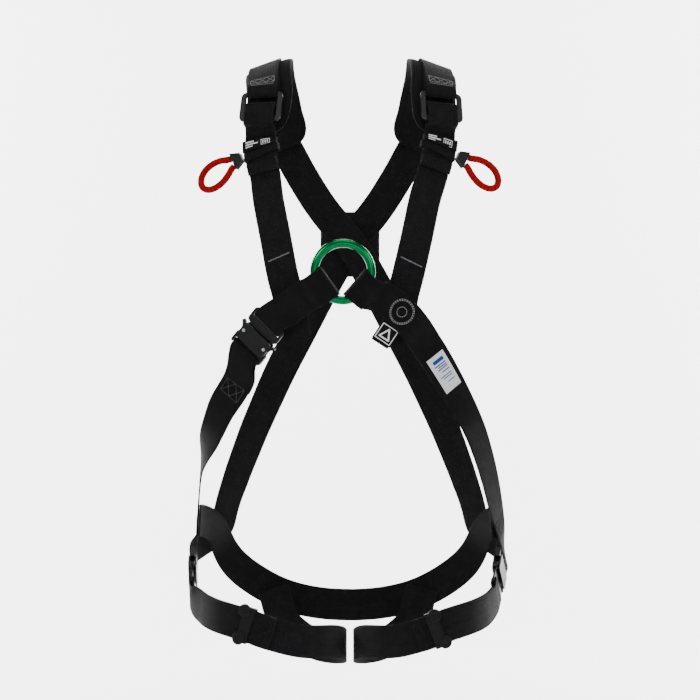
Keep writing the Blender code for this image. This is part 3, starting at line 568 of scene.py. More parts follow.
def ribbon(name, stations, look=None, width=WEB_WIDTH, thick=WEB_THICK):
    """A strap with rounded selvedges, a little thicker at its edges, drawn through the solid's stations."""
    form = torso if not name.startswith("leg_strap") else thigh(-1 if name.endswith("right") else 1)
    strap = Strap(stations, form, thick)
    half = width / 2
    profile = []
    for k in range(OUTLINE + 1):
        x = math.sin(math.pi * (k / OUTLINE - 0.5))
        rim = min(1.0, math.sqrt(max(0.0, 1 - abs(x) ** 40)) + 0.25)
        swell = 1 + 0.12 * math.exp(-((abs(x) - 0.93) / 0.05) ** 2)
        profile.append((x * half, thick / 2 * rim * swell * 0.94))
    rings, turns = [], []
    for i, (p, across) in enumerate(strap.fine):
        n = strap.normals[i]
        upper = [p + across * w + n * h for w, h in profile]
        lower = [p + across * w - n * h for w, h in reversed(profile)]
        rings.append(upper + lower)
    turns = [w for w, _ in profile] + [w for w, _ in reversed(profile)] + [profile[0][0]]
    STRAPS[name] = strap
    look = look or ("chevron" if name.startswith(("front", "yoke", "leg", "seat")) else "plain")
    obj = loft("web_" + name, rings, strap.lengths, turns, look)
    DRAWN.append((obj, name, strap.lengths[-1], width))
    return obj


DRAWN = []                 # each drawn strap: object, CAD node, length, width


def stitches(name, strap, runs, look="thread", lift=0.3, pitch=2.6, wide=1.25):
    """Stitches along runs of (d, w) points on a strap, all in one mesh."""
    bm = bmesh.new()
    uv = bm.loops.layers.uv.new("UVMap")
    for run in runs:
        for (d0, w0), (d1, w1) in zip(run, run[1:]):
            far = math.hypot(d1 - d0, w1 - w0)
            count = max(1, round(far / pitch))
            for k in range(count):
                t0, t1 = (k + 0.1) / count, (k + 0.9) / count
                ends = [strap.spot(d0 + (d1 - d0) * t, w0 + (w1 - w0) * t, lift) for t in (t0, t1)]
                add_stitch(bm, uv, ends, wide / 2)
    bmesh.ops.recalc_face_normals(bm, faces=bm.faces)
    return finish_mesh(name, bm, look)


def add_stitch(bm, uv, ends, radius):
    """One raised stitch: a bead that dips into the cloth at both ends."""
    (p, _, _, out), (q, _, _, _) = ends
    way = (q - p).normalized()
    side = way.cross(out).normalized()
    rings = []
    for t, size, sink in ((0.0, 0.45, -0.35), (0.3, 1.0, 0.0), (0.7, 1.0, 0.0), (1.0, 0.45, -0.35)):
        middle = p.lerp(q, t) + out * sink
        ring = []
        for k in range(6):
            a = math.tau * k / 6
            ring.append(bm.verts.new(
                (middle + (side * math.cos(a) + out * 0.7 * math.sin(a)) * radius * size) * MM
            ))
        rings.append(ring)
    faces = []
    for one, two in zip(rings, rings[1:]):
        for k in range(6):
            m = (k + 1) % 6
            faces.append(bm.faces.new((one[k], one[m], two[m], two[k])))
    faces.append(bm.faces.new(rings[0]))
    faces.append(bm.faces.new(rings[-1]))
    for face in faces:
        for i, corner in enumerate(face.loops):
            corner[uv].uv = (0.1 * (i % 2), 0.1 * (i // 2))


def patch(name, place, outline, look, thick=0.25, steps=6):
    """A thin printed or woven patch: place(u, v) gives (point, out); outline is (u0, u1, v0, v1)."""
    u0, u1, v0, v1 = outline
    bm = bmesh.new()
    uv = bm.loops.layers.uv.new("UVMap")
    layers = []
    for lift in (0.0, thick):
        rows = []
        for i in range(steps + 1):
            row = []
            for j in range(3):
                p, out = place(u0 + (u1 - u0) * i / steps, v0 + (v1 - v0) * j / 2)
                row.append(bm.verts.new((p + out * lift) * MM))
            rows.append(row)
        layers.append(rows)
    low, high = layers
    spots = {}
    for rows in layers:
        for i, row in enumerate(rows):
            for j, vert in enumerate(row):
                spots[vert] = ((u0 + (u1 - u0) * i / steps) / 10, (v0 + (v1 - v0) * j / 2) / 10)
    for i in range(steps):
        for j in range(2):
            bm.faces.new((high[i][j], high[i + 1][j], high[i + 1][j + 1], high[i][j + 1]))
            bm.faces.new((low[i][j], low[i][j + 1], low[i + 1][j + 1], low[i + 1][j]))
        for j in (0, 2):
            bm.faces.new((low[i][j], low[i + 1][j], high[i + 1][j], high[i][j]))
    for i in (0, steps):
        for j in range(2):
            bm.faces.new((low[i][j], low[i][j + 1], high[i][j + 1], high[i][j]))
    for face in bm.faces:
        for corner in face.loops:
            corner[uv].uv = spots[corner.vert]
    bmesh.ops.recalc_face_normals(bm, faces=bm.faces)
    return finish_mesh(name, bm, look)


def round_bar(name, points, radius, look, closed=False, sides=16, steps=4, flat=1.0):
    """A smooth round bar or cord through points."""
    count = len(points)
    if closed:
        knots = [points[-1], *points, points[0], points[1]]
        route = [spline(*knots[i:i + 4], k / steps) for i in range(count) for k in range(steps)]
    else:
        knots = [2 * points[0] - points[1], *points, 2 * points[-1] - points[-2]]
        route = [spline(*knots[i:i + 4], k / steps) for i in range(count - 1) for k in range(steps)]
        route.append(points[-1])
    total = len(route)
    lengths, rings, side = [0.0], [], None
    for i, p in enumerate(route):
        before = route[i - 1] if (closed or i) else p
        after = route[(i + 1) % total] if (closed or i < total - 1) else p
        way = (after - before).normalized()
        if side is None:
            side = way.orthogonal().normalized()
        side = (side - way * side.dot(way)).normalized()
        up = way.cross(side)
        ring = [
            p + (side * math.cos(math.tau * k / sides) + up * flat * math.sin(math.tau * k / sides)) * radius
            for k in range(sides)
        ]
        rings.append(ring)
        if i:
            lengths.append(lengths[-1] + (p - route[i - 1]).length)
    turns = [math.tau * k / sides * 2 for k in range(sides + 1)]
    obj = loft(name, rings, lengths, turns, look, closed)
    return obj, route, lengths[-1]


def band(name, path, s0, s1, w0, w1, h0, h1, thick, look, tilt=0.0, rows=6):
    """A webbing band wrapped once round a strap; tilt is how far it runs along for each millimetre across."""
    loop = rounded(w0, w1, h0, h1, 1.4, 4)
    outline = []
    for grow in (thick / 2, -thick / 2):
        shape = rounded(w0 - grow, w1 + grow, h0 - grow, h1 + grow, 1.4 + grow, 4)
        outline.append(shape)
    bm = bmesh.new()
    uv = bm.loops.layers.uv.new("UVMap")
    grid = []
    for i in range(rows + 1):
        s = s0 + (s1 - s0) * i / rows
        grid.append([
            [bm.verts.new(path.place(s + tilt * w, w, h) * MM) for w, h in shape] for shape in outline
        ])
    around = len(loop)
    girth_at = [0.0]
    for k in range(around):
        (a, b), (c, d) = loop[k], loop[(k + 1) % around]
        girth_at.append(girth_at[-1] + math.hypot(c - a, d - b))

    def quad(corners, places):
        face = bm.faces.new(corners)
        for corner, (a, b) in zip(face.loops, places):
            corner[uv].uv = (b / 10, a / 10)

    for k in range(around):
        m = (k + 1) % around
        g0, g1 = girth_at[k], girth_at[k + 1]
        for i in range(rows):
            t0, t1 = (s1 - s0) * i / rows, (s1 - s0) * (i + 1) / rows
            for layer in (0, 1):
                quad(
                    (grid[i][layer][k], grid[i][layer][m], grid[i + 1][layer][m], grid[i + 1][layer][k]),
                    ((t0, g0), (t0, g1), (t1, g1), (t1, g0)),
                )
        for i, t in ((0, 0.0), (rows, s1 - s0)):
            quad(
                (grid[i][0][k], grid[i][0][m], grid[i][1][m], grid[i][1][k]),
                ((t, g0), (t, g1), (t, g1), (t, g0)),
            )
    bmesh.ops.recalc_face_normals(bm, faces=bm.faces)
    return finish_mesh(name, bm, look)


def button(name, path, s, w, h):
    """A flat round knob on a strap's clip, with a soft edge."""
    rings, lengths = [], []
    for up, radius in ((0, 7.6), (0.8, 8.6), (2.4, 8.6), (3.4, 7.8), (3.8, 5.5), (3.9, 2.0)):
        ring = [path.place(s, w, h + up)] * 24
        along, across, _ = path.axes(s)
        turn = [math.tau * k / 24 for k in range(24)]
        rings.append([p + (along * math.cos(a) + across * math.sin(a)) * radius for p, a in zip(ring, turn)])
        lengths.append(up + 9 - radius)
    return loft(name, rings, lengths, [2.0 * k for k in range(25)], "plastic")


def bar_tack(d, w0, w1, slant=0.0, reach=1.2, step=1.25):
    """A dense zigzag row of stitches across a strap."""
    count = round((w1 - w0) / step)
    run = []
    for k in range(count + 1):
        t = k / count
        run.append((d + slant * (2 * t - 1) + (reach if k % 2 else -reach), w0 + (w1 - w0) * t))
    return [run]


# ---------------------------------------------------------------- routes of the straps

def top(x, y=0.0):
    """A point on the ridge of the shoulder."""
    start = Vector((x, y, SHOULDER_Z - SHOULDER_FALL * (abs(x) - SHOULDER_X)))
    return settle(torso, start)


SHOULDER_FRONT = {
    -1: ((-71, -369), (-76, -327), (-86, -289), (-95, -240), (-104, -193),
         (-108, -161), (-112, -121), (-110, -96), (-108, -76), (-106, -51)),
    1: ((59, -374), (66, -321), (74, -289), (85, -240), (95, -193),
        (106, -155), (112, -118), (112, -97), (111, -76), (110, -51)),
}
SHOULDER_BACK = (
    (102, -48), (93, -85), (73, -135), (40, -190), (0, -240), (-31, -292), (-62, -352),
    (-95, -418), (-121, -478), (-142, -532), (-158, -580),
)
CROSSING = {-1: (-78, -331), 1: (62, -333)}     # where each chest band lies on a front strap
CHEST_BUCKLE = (-110, -361)
CHEST_R = (
    (-8, -284), (-24, -292), (-50, -310), CROSSING[-1], (-97, -344),
    CHEST_BUCKLE, (-119, -372), (-129, -395), (-143, -426), (-161, -457),
    (-175, -492),
)
CHEST_L = (
    (-8, -284), (8, -293), (31, -312), CROSSING[1], (101, -384), (134, -440),
    (153, -477), (166, -511), (178, -555), (185, -588),
)
WAIST_TURNS = (-4, -20, -27, -22, -4)      # degrees the right side strap faces forward, knot by knot
HIP_Y, HIP_Z = 15, -690
HIP_OFF = {-1: 10.5, 1: -2}
HIP_FACING = {-1: 0.0, 1: -0.25}           # how much each hip buckle looks forward
HIP_ROLL = (HIP_Y + ROLL_U * math.sqrt(0.5), HIP_Z + ROLL_U * math.sqrt(0.5))
LEG_TURNS = ((-5, -702), (4, -711), (14, -718), (28, -724), (45, -730), (60, -735), (74, -741), (87, -749),
             (114, -761), (149, -765), (180, -775), (215, -783), (240, -778), (262, -752), (271, -708))


def shoulder_path(side):
    knots = [front(x, z) for x, z in SHOULDER_FRONT[side]]
    knots += [top(side * 107)]
    knots += [back(side * x, z) for x, z in SHOULDER_BACK]
    knots += [flank(-side, 77, -620), flank(-side, 60, -644), flank(-side, *HIP_ROLL), flank(-side, 22, -684)]
    return Path(knots)


def chest_path(side):
    if side < 0:
        knots = [front(x, z) for x, z in CHEST_R]
        knots += [flank(-1, -2, -545), flank(-1, 8, -600), flank(-1, 14, -638)]
        return Path(knots, torso, list(zip(knots[7:12], WAIST_TURNS)))
    return Path([front(x, z) for x, z in CHEST_L] + [flank(1, -30, -618), flank(1, -8, -648)])


def leg_path(side):
    centre, half = THIGHS[side]
    knots = []
    for degrees, z in LEG_TURNS:
        a = math.radians(degrees)
        knots.append(Vector((side * (centre + half * math.cos(a)), -5 - 105 * math.sin(a), z)))
    return Path(knots, thigh(side))


SHOULDER = {side: shoulder_path(side) for side in (-1, 1)}
CHEST = {side: chest_path(side) for side in (-1, 1)}
LEG = {side: leg_path(side) for side in (-1, 1)}
SIDES = {-1: "right", 1: "left"}


def adjuster_spot(side):
    return SHOULDER[side].nearest(front(*SHOULDER_FRONT[side][8]))


ADJUSTER_OFF = 17.0
FRAME_BARS = (-20.0, -15.0, 15.5, 20.0)     # lower bar and upper bar, along the strap
FRAME_THICK = 3.4
SLIDE_U, SLIDE_N, SLIDE_R = 1.5, -1.9, 2.8


KEEPER_LIFT = 7.4
KEEPER_TILT = 0.17
PLY_STEP = 2.8             # from a strap's middle to that of its tail lying on it
PAD_EDGE = 11.6            # height at which the front strap passes over the pad's lower end


def pad_ends(side):
    path = SHOULDER[side]
    return path.nearest(front(*SHOULDER_FRONT[side][7])) - 5, path.nearest(back(side * 82, -112))


def keeper_spot(side):
    return SHOULDER[side].nearest(front(*SHOULDER_FRONT[side][6])) + 2


def yoke_strap(side):
    """The webbing over the pad: its short end lies under the adjuster's upper bar, and from there it
    runs over the shoulder, through the dorsal crossing and down to the other hip's receiver."""
    path, s_buckle = SHOULDER[side], adjuster_spot(side)
    bench = path.bench(s_buckle, ADJUSTER_OFF)
    across = same_way(bench, path.axes(s_buckle)[1])
    reach = 4.0
    fold = FRAME_BARS[2] - 2.2
    s_bar = s_buckle + 23
    hip = hip_bench(-side)
    hip_across = same_way(hip, path.axes(path.length - 20)[1])
    s_cross = path.nearest(back(0, DORSAL_Z))
    s_end = path.nearest(flank(-side, *HIP_ROLL)) - 10
    crossing = SKIN if side < 0 else SKIN + 6
    lifts = [(s_bar, path.rise(s_bar, bench, -reach)), (s_buckle + 44, OVER_PAD)]
    docks = [(s_bar, bench.place(23, 0, -reach), across)]
    stations = ply(path, s_buckle + 48, s_bar, lifts, 3, docks)
    stations += turn_round(bench, fold + reach, 0, reach, reach, 270, 90, across)
    lifts = [
        (s_bar, path.rise(s_bar, bench, reach)), (s_buckle + 48, OVER_PAD + 2.8), (s_buckle + 64, OVER_PAD),
        (pad_ends(side)[1] + 4, OVER_PAD), (s_cross - 55, crossing), (s_cross + 55, crossing),
        (s_cross + 110, SKIN), (s_end - 110, SKIN), (s_end - 62, 8.5),
        (s_end, path.rise(s_end, hip, ROLL_N)),
    ]
    docks = [
        (s_bar, bench.place(23, 0, reach), across),
        (s_end, hip.place(ROLL_U + 8, 0, ROLL_N), hip_across),
    ]
    stations += ply(path, s_bar, s_end, lifts, 46, docks)
    stations += hip_roll(-side, path)
    ribbon(f"yoke_strap_{SIDES[side]}", stations)


def front_strap(side):
    """From its sewn end under the chest band up to the slide bar, over it and over the frame's lower
    bar, and back down as a tail."""
    path, s_buckle, s_keep = SHOULDER[side], adjuster_spot(side), keeper_spot(side)
    bench = path.bench(s_buckle, ADJUSTER_OFF)
    across = same_way(bench, path.axes(s_buckle)[1])
    reach = SLIDE_R + FOLD_SPACE + WEB_THICK / 2
    low_n = FRAME_THICK / 2 + 1.4
    s_low, s_near = s_buckle - 23, s_buckle - 15
    s_pad = pad_ends(side)[0]
    main = [
        (0, 2.2), (90, 2.2), (150, SKIN), (s_keep - 50, SKIN), (s_keep - 22, KEEPER_LIFT),
        (s_keep + 8, KEEPER_LIFT), (s_pad - 1, PAD_EDGE), (s_near, path.rise(s_near, bench, SLIDE_N - reach)),
    ]
    docks = [(s_near, bench.place(-15, 0, SLIDE_N - reach), across)]
    stations = ply(path, 0, s_near, main, 34, docks)
    stations += turn_round(bench, SLIDE_U, SLIDE_N, reach, reach, 270, 450, across)
    bulges = ((-4, 1.0), (-10, 1.6), (-17, 0.2))
    stations += [(bench.place(u, 0, low_n + bulge), across) for u, bulge in bulges]
    s_tail = s_keep - 40
    tail = [
        (s_tail, height(main, s_tail) + PLY_STEP), (s_keep - 22, KEEPER_LIFT + PLY_STEP),
        (s_keep + 8, KEEPER_LIFT + PLY_STEP), (s_pad - 1, PAD_EDGE + PLY_STEP),
        (s_low, path.rise(s_low, bench, low_n)),
    ]
    docks = [(s_low, bench.place(-23, 0, low_n), across)]
    stations += ply(path, s_low, s_tail, tail, 14, docks)
    ribbon(f"front_strap_{SIDES[side]}", stations)


LOOP_R = 4.4
LOOP_POINTS = ((16, 5.8), (20.5, 7.2), (32, 12), (45, 13), (57, 9.5), (65, 2), (67, -7), (62, -14.5),
               (52, -18), (40, -17), (29, -12.5), (20.5, -7.2), (16, -5.8))
LOOP_TILT = {-1: 19, 1: 17}


def loop_bench(side):
    """Where the parking loop leaves its band: u runs outward and down, n off the body."""
    path = SHOULDER[side]
    s = keeper_spot(side) - 13
    along, across, normal = path.axes(s)
    tilt = math.radians(LOOP_TILT[side])
    out = across * side
    direction = out * math.cos(tilt) - along * math.sin(tilt)
    return Bench(path.place(s, side * (WEB_WIDTH / 2 + 5), KEEPER_LIFT + PLY_STEP / 2), direction, normal)


def tongue_fold(bench, across):
    """Stations of webbing folded through the tongue's slot, from under its far bar to over it."""
    reach = TONGUE_THICK / 2 + FOLD_SPACE + WEB_THICK / 2
    u = TONGUE_BAR - TONGUE_DEEP + FOLD_SPACE + 0.4 + WEB_THICK / 2 - reach
    return turn_round(bench, u, 0, reach, reach, -90, 90, across)


FOLD_N = TONGUE_THICK / 2 + FOLD_SPACE + WEB_THICK / 2
ROLL_N = ROLL_R + FOLD_SPACE + WEB_THICK / 2


def receiver_roll(bench, across):
    """Stations of webbing round the receiver's bar, arriving over it and leaving under it."""
    return turn_round(bench, ROLL_U, 0, ROLL_N, ROLL_N, 90, 270, across)


def same_way(bench, across):
    return bench.v if bench.v.dot(across) > 0 else -bench.v


def hip_bench(side):
    """The hip buckle's frame: u runs up and back, from the leg strap's tongue to the receiver."""
    out = Vector((side, HIP_FACING[side], 0)).normalized()
    return Bench(flank(side, HIP_Y, HIP_Z) + out * HIP_OFF[side], Vector((0, 1, 1)), out)


def hip_roll(side, path):
    bench = hip_bench(side)
    across = same_way(bench, path.axes(path.length - 20)[1])
    tail = [(bench.place(u, 0, -ROLL_N), across) for u in (ROLL_U + 8, ROLL_U + 16)]
    return receiver_roll(bench, across) + tail


def chest_bench():
    path = CHEST[-1]
    return path.bench(path.nearest(front(*CHEST_BUCKLE)), CHEST_OFF)


def ring_bench(side=0):
    centre = front(RING_X, RING_Z)
    normal = gradient(torso, centre).normalized()
    along = CHEST[side].axes(30)[0] if side else Vector((1, 0, 0))
    return Bench(centre + normal * RING_OFF, along, normal)


RING_FOLD = ((50, -5), (43, -6.3), (36, -7.2), (28, -6.9), (22.4, -5), (19.7, 0), (22.4, 5), (28, 6.9),
             (36, 7.2), (44, 6.6))


def ring_fold(side):
    """Stations of the webbing folded round the ring: its short end under, then over."""
    bench = ring_bench(side)
    across = same_way(bench, CHEST[side].axes(30)[1])
    return [(bench.place(u, 0, n), across) for u, n in RING_FOLD]


def chest_band_right():
    """From the ring, over the front strap, to the chest buckle's tongue and back under itself."""
    path, bench = CHEST[-1], chest_bench()
    s_tongue = path.nearest(front(*CHEST_BUCKLE))
    s_cross = path.nearest(front(*CROSSING[-1]))
    s_bar = s_tongue - TONGUE_DEEP + 1
    lifts = [(54, 16.2), (s_cross, 13.4), (s_bar, path.rise(s_bar, bench, FOLD_N))]
    across = same_way(bench, path.axes(s_tongue - 20)[1])
    u_bar = 1 - TONGUE_DEEP
    docks = [(s_bar, bench.place(u_bar, 0, FOLD_N), across)]
    stations = ring_fold(-1) + ply(path, 54, s_bar, lifts, 7, docks)
    stations += tongue_fold(bench, across)[::-1]
    lifts = [(s_cross - 2, 7.8), (s_bar - 12, 8.4), (s_bar, path.rise(s_bar, bench, -FOLD_N))]
    docks = [(s_bar, bench.place(u_bar, 0, -FOLD_N), across)]
    stations += ply(path, s_bar, s_cross - 2, lifts, 4, docks)
    ribbon("chest_band_right", stations)


def side_strap_right():
    """From the hip up the side to the chest buckle's receiver, round its bar and back under itself."""
    path, bench = CHEST[-1], chest_bench()
    s_roll = path.nearest(front(*CHEST_BUCKLE)) + ROLL_U
    s_near = s_roll + 6
    lifts = [
        (s_near, path.rise(s_near, bench, ROLL_N)), (s_roll + 56, 7), (s_roll + 95, 9),
        (path.length - 80, ON_SEAT), (path.length, ON_SEAT),
    ]
    across = same_way(bench, path.axes(s_roll)[1])
    docks = [(s_near, bench.place(ROLL_U + 6, 0, ROLL_N), across)]
    stations = ply(path, path.length, s_near, lifts, 24, docks)
    stations += receiver_roll(bench, across)
    lifts = [(s_near, path.rise(s_near, bench, -ROLL_N)), (s_roll + 50, 4)]
    docks = [(s_near, bench.place(ROLL_U + 6, 0, -ROLL_N), across)]
    stations += ply(path, s_near, s_roll + 50, lifts, 5, docks)
    ribbon("side_strap_right", stations)


def chest_strap_left():
    """One piece from the ring, over the front strap and down the side to the hip."""
    path = CHEST[1]
    ribbon("chest_strap_left", ring_fold(1) + ply(path, 54, path.length, left_lifts(), 30))


def left_lifts():
    path = CHEST[1]
    s_cross = path.nearest(front(*CROSSING[1]))
    return [
        (54, 14.5), (s_cross, 10.6), (s_cross + 28, 9.6), (s_cross + 62, 4),
        (path.length - 80, ON_SEAT), (path.length, ON_SEAT),
    ]


def leg_strap(side):
    """From the seat strap between the legs and round the thigh to the hip buckle, its tail outside."""
    path, bench, word = LEG[side], hip_bench(side), SIDES[side]
    near = path.nearest(
        flank(side, HIP_Y - TONGUE_DEEP * math.sqrt(0.5), HIP_Z - TONGUE_DEEP * math.sqrt(0.5))
    )
    inner, outer = path.rise(near, bench, -FOLD_N), path.rise(near, bench, FOLD_N)
    lifts = [(near, inner), (near + 45, SKIN), (path.length - 90, SKIN), (path.length, 6)]
    across = same_way(bench, path.axes(near)[1])
    docks = [(near, bench.place(-TONGUE_DEEP, 0, -FOLD_N), across)]
    stations = ply(path, path.length, near, lifts, 42, docks)
    stations += tongue_fold(bench, across)
    s_tail = leg_spot(side, TAIL_X[side])
    lifts = [(near, outer), (near + 45, SKIN + PLY_STEP + 0.2), (s_tail, SKIN + PLY_STEP + 0.2)]
    docks = [(near, bench.place(-TONGUE_DEEP, 0, FOLD_N), across)]
    stations += ply(path, near, s_tail, lifts, 12, docks)
    ribbon(f"leg_strap_{word}", stations)


TAIL_X = {-1: -99, 1: 87}
LEG_KEEPER_X = {-1: -132, 1: 109}


def leg_spot(side, x):
    path = LEG[side]
    return min(
        (s for p, s in zip(path.points, path.lengths) if p.y < -40),
        key=lambda s: abs(path.spot(s).x - x),
    )


SEAT_FRONT = {-1: -18, 1: -50}             # how far forward each end of the seat strap reaches


def seat_half(side):
    rows = ((SEAT_FRONT[side], -611), (8, -611), (38, -614), (64, -626))
    sides = [flank(side, y, z) for y, z in rows]
    return sides + [back(side * x, z) for x, z in ((160, -664), (135, -690), (95, -714), (50, -727))]


def seat_strap():
    """Behind the thighs, its two ends running forward under the side straps, which are sewn to it."""
    path = Path(seat_half(1) + [back(0, -731)] + seat_half(-1)[::-1])
    ribbon("seat_strap", ply(path, 0, path.length, SKIN, 38))


DORSAL_Z = -240
DORSAL_OFF = 15.5
D_BAR_U, D_BAR_N, D_RADIUS = 26, 8.5, 4.0


# ---------------------------------------------------------------- straps

HARNESS = "harness"
BENDS = {}                 # strap node: the hardware body at its end, and a start and an end point near it
for side in (-1, 1):
    word = SIDES[side]
    yoke_strap(side)
    front_strap(side)
    leg_strap(side)
    hip = hip_bench(side)
    BENDS[f"leg_strap_{word}"] = (f"hip_{word}_tongue", hip.place(-75), hip.place(-24))
chest_band_right()
side_strap_right()
chest_strap_left()
seat_strap()
buckle, ring = chest_bench(), ring_bench()
for side, node in ((-1, "chest_band_right"), (1, "chest_strap_left")):
    towards = ring_bench(side)
    BENDS[node] = ("sternal_ring", towards.place(75), towards.place(24))
BENDS["side_strap_right"] = ("chest_receiver", buckle.place(ROLL_U + 75), buckle.place(ROLL_U + 4))


def attach(obj, node):
    """Makes a piece of a strap move as the strap does."""
    if node in BENDS:
        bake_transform(obj)
    else:
        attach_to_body(obj, HARNESS)
    return obj


def sew(name, node, runs, look="thread", **settings):
    obj = stitches(name, STRAPS[node], runs, look, **settings)
    attach(obj, node)
    SEWN.setdefault(node, []).append(obj)


SEWN = {}


def x_box(d, half_d, half_w, crosses, middle=0.0, line=None):
    """Runs of a rectangle full of crosses, centred at length d."""
    d0, d1, w0, w1 = d - half_d, d + half_d, middle - half_w, middle + half_w
    runs = [[(d0, w0), (d1, w0), (d1, w1), (d0, w1), (d0, w0)]]
    for k in range(crosses):
        a, b = w0 + (w1 - w0) * k / crosses, w0 + (w1 - w0) * (k + 1) / crosses
        runs += [[(d0, a), (d1, b)], [(d0, b), (d1, a)]]
    if line is not None:
        runs.append([(d + line, w0), (d + line, w1)])
    return runs


def circle_run(d, w, radius, count=24):
    return [
        (d + radius * math.cos(math.tau * k / count), w + radius * math.sin(math.tau * k / count))
        for k in range(count + 1)
    ]


def on(node, p, outer=True):
    return STRAPS[node].nearest(p, outer)


def yoke_runs_up(yoke, path, s_buckle):
    """Whether length grows away from the adjuster on the yoke's outer run."""
    return on(yoke, path.place(s_buckle + 50, 0, 20)) > on(yoke, path.place(s_buckle + 30, 0, 20))


for side in (-1, 1):
    word = SIDES[side]
    path, s_buckle = SHOULDER[side], adjuster_spot(side)
    yoke, strap, leg = (f"{kind}_{word}" for kind in ("yoke_strap", "front_strap", "leg_strap"))
    d = on(yoke, path.place(s_buckle + 32, 0, 20))
    away = -1 if yoke_runs_up(yoke, path, s_buckle) else 1
    sew(f"sewing_shoulder_box_{word}", yoke, x_box(d, 7.2, 16.5, 3, line=10.5 * away))
    low = front(-90, -265) if side < 0 else front(78, -272)
    d = on(strap, low)
    slant = -3 * side
    sew(f"sewing_front_line_{word}", strap, bar_tack(d, -15.5, 15.5, slant), pitch=4, wide=0.9)
    s_tail = keeper_spot(side) - 40
    d = on(strap, path.place(s_tail + 7, 0, 12))
    sew(f"sewing_tail_{word}", strap, [[(d, -18), (d, 18)]], "thread_dark")
    d = on(yoke, back(0, DORSAL_Z) + Vector((-side * 30, 0, -55)))
    sew(f"sewing_back_{word}", yoke, x_box(d, 9, 16, 2), "thread")
    hip = hip_bench(-side)
    d = on(yoke, hip.place(ROLL_U + 30, 0, 4))
    sew(f"sewing_receiver_{word}", yoke, x_box(d, 8, 16, 2), "thread")
    d = on(leg, LEG[side].place(leg_spot(side, TAIL_X[side]) - 0, 0, 8))
    sew(
        f"sewing_leg_tail_{word}", leg,
        [[(d + 4, -18), (d + 4, 18)], [(d - 4, -18), (d - 4, 18)]], "thread_dark",
    )
d = on("chest_band_right", front(-86, -336))
sew("sewing_chest_line_right", "chest_band_right", bar_tack(d, -15, 15), pitch=4, wide=0.9)
d = on("side_strap_right", front(-147, -437))
sew("sewing_side_box_right", "side_strap_right", x_box(d, 10.5, 14.5, 2), "thread_mid")
d = on("chest_strap_left", front(30, -310))
sew("sewing_chest_line_left", "chest_strap_left", bar_tack(d, -15, 15), pitch=4, wide=0.9)
d = on("chest_strap_left", front(66, -334))
sew(
    "sewing_circles", "chest_strap_left",
    [circle_run(d, 0, 16.5, 32), circle_run(d, 0, 14.9, 32), circle_run(d, 0, 6.6, 16)], pitch=2.4,
)
d = on("side_strap_right", flank(-1, 10, -614))
sew("sewing_hip_joint_right", "side_strap_right", x_box(d, 10, 15, 2), "thread_mid")
d = on("chest_strap_left", flank(1, -28, -614))
sew("sewing_hip_joint_left", "chest_strap_left", x_box(d, 10, 15, 2), "thread_mid")
d = on("seat_strap", back(130, -692))
sew("sewing_seat_left", "seat_strap", x_box(d, 11, 16, 2))
d = on("seat_strap", back(-130, -692))
sew("sewing_seat_right", "seat_strap", x_box(d, 11, 16, 2))


def tail_end(node, long):
    """A doubled, sewn end lying on a tail."""
    strap = STRAPS[node]
    end = strap.lengths[-1]
    stations = []
    for k in range(7):
        p, _, across, _ = strap.spot(end - long + (long + 0.5) * k / 6, 0, 0.9)
        stations.append((p, across))
    piece = Strap(stations, strap.form, 1.6)
    rings = []
    for (p, across), n in zip(piece.fine, piece.normals):
        rings.append([
            p + across * w + n * h for w, h in ((-21.3, 0.8), (21.3, 0.8), (21.3, -0.8), (-21.3, -0.8))
        ])
    obj = loft(f"web_tail_end_{node}", rings, piece.lengths, [-21.3, 21.3, 21.3, -21.3, -21.3], "chevron")
    attach(obj, node)
    SEWN.setdefault(node, []).append(obj)


for word in SIDES.values():
    tail_end(f"front_strap_{word}", 15)
    tail_end(f"leg_strap_{word}", 9)

# ---------------------------------------------------------------- pads

def shoulder_pad(side):
    """A padded sleeve: domed, with piped edges."""
    path, word = SHOULDER[side], SIDES[side]
    start, end = pad_ends(side)
    count, cols = 60, 14
    rings, lengths, rims = [], [], ([], [])
    for k in range(count + 1):
        t = 0.5 - 0.5 * math.cos(math.pi * k / count)
        nearest_end = min(t, 1 - t) * (end - start)
        full = math.sqrt(max(0.0, 1 - (1 - min(nearest_end / 26, 1)) ** 2))
        shrink = 0.45 + 0.55 * full
        s = start + (end - start) * t
        outer, inner = -26.2 * shrink, 34.2 * shrink
        profile = []
        for j in range(cols + 1):
            x = math.sin(math.pi * (j / cols - 0.5))
            w = outer + (inner - outer) * (x + 1) / 2
            dome = (1 - abs(x) ** 5) ** 0.5 if abs(x) < 1 else 0.0
            puff = 0.35 * math.sin(x * 9) * full
            profile.append((w, 0.8 + 2.9 * dome * (0.35 + 0.65 * full) + puff * 0.4))
        ring = [path.place(s, -side * w, PAD_LIFT + h) for w, h in profile]
        ring += [path.place(s, -side * w, PAD_LIFT - h) for w, h in reversed(profile)]
        rings.append(ring)
        lengths.append(s - start)
        rims[0].append(path.place(s, -side * outer, PAD_LIFT))
        rims[1].append(path.place(s, -side * inner, PAD_LIFT))
    turns = [w for w, _ in profile] + [w for w, _ in reversed(profile)] + [profile[0][0]]
    pad = loft(f"soft_shoulder_pad_{word}", rings, lengths, turns, "pad")
    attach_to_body(pad, HARNESS)
    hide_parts(f"shoulder_pad_{word}")
    rim = rims[0][::2] + rims[1][::-2]
    piping, _, _ = round_bar(f"piping_{word}", rim, 1.7, "piping", closed=True, sides=8, steps=2)
    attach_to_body(piping, HARNESS)


for side in (-1, 1):
    shoulder_pad(side)

# ---------------------------------------------------------------- keepers and loops

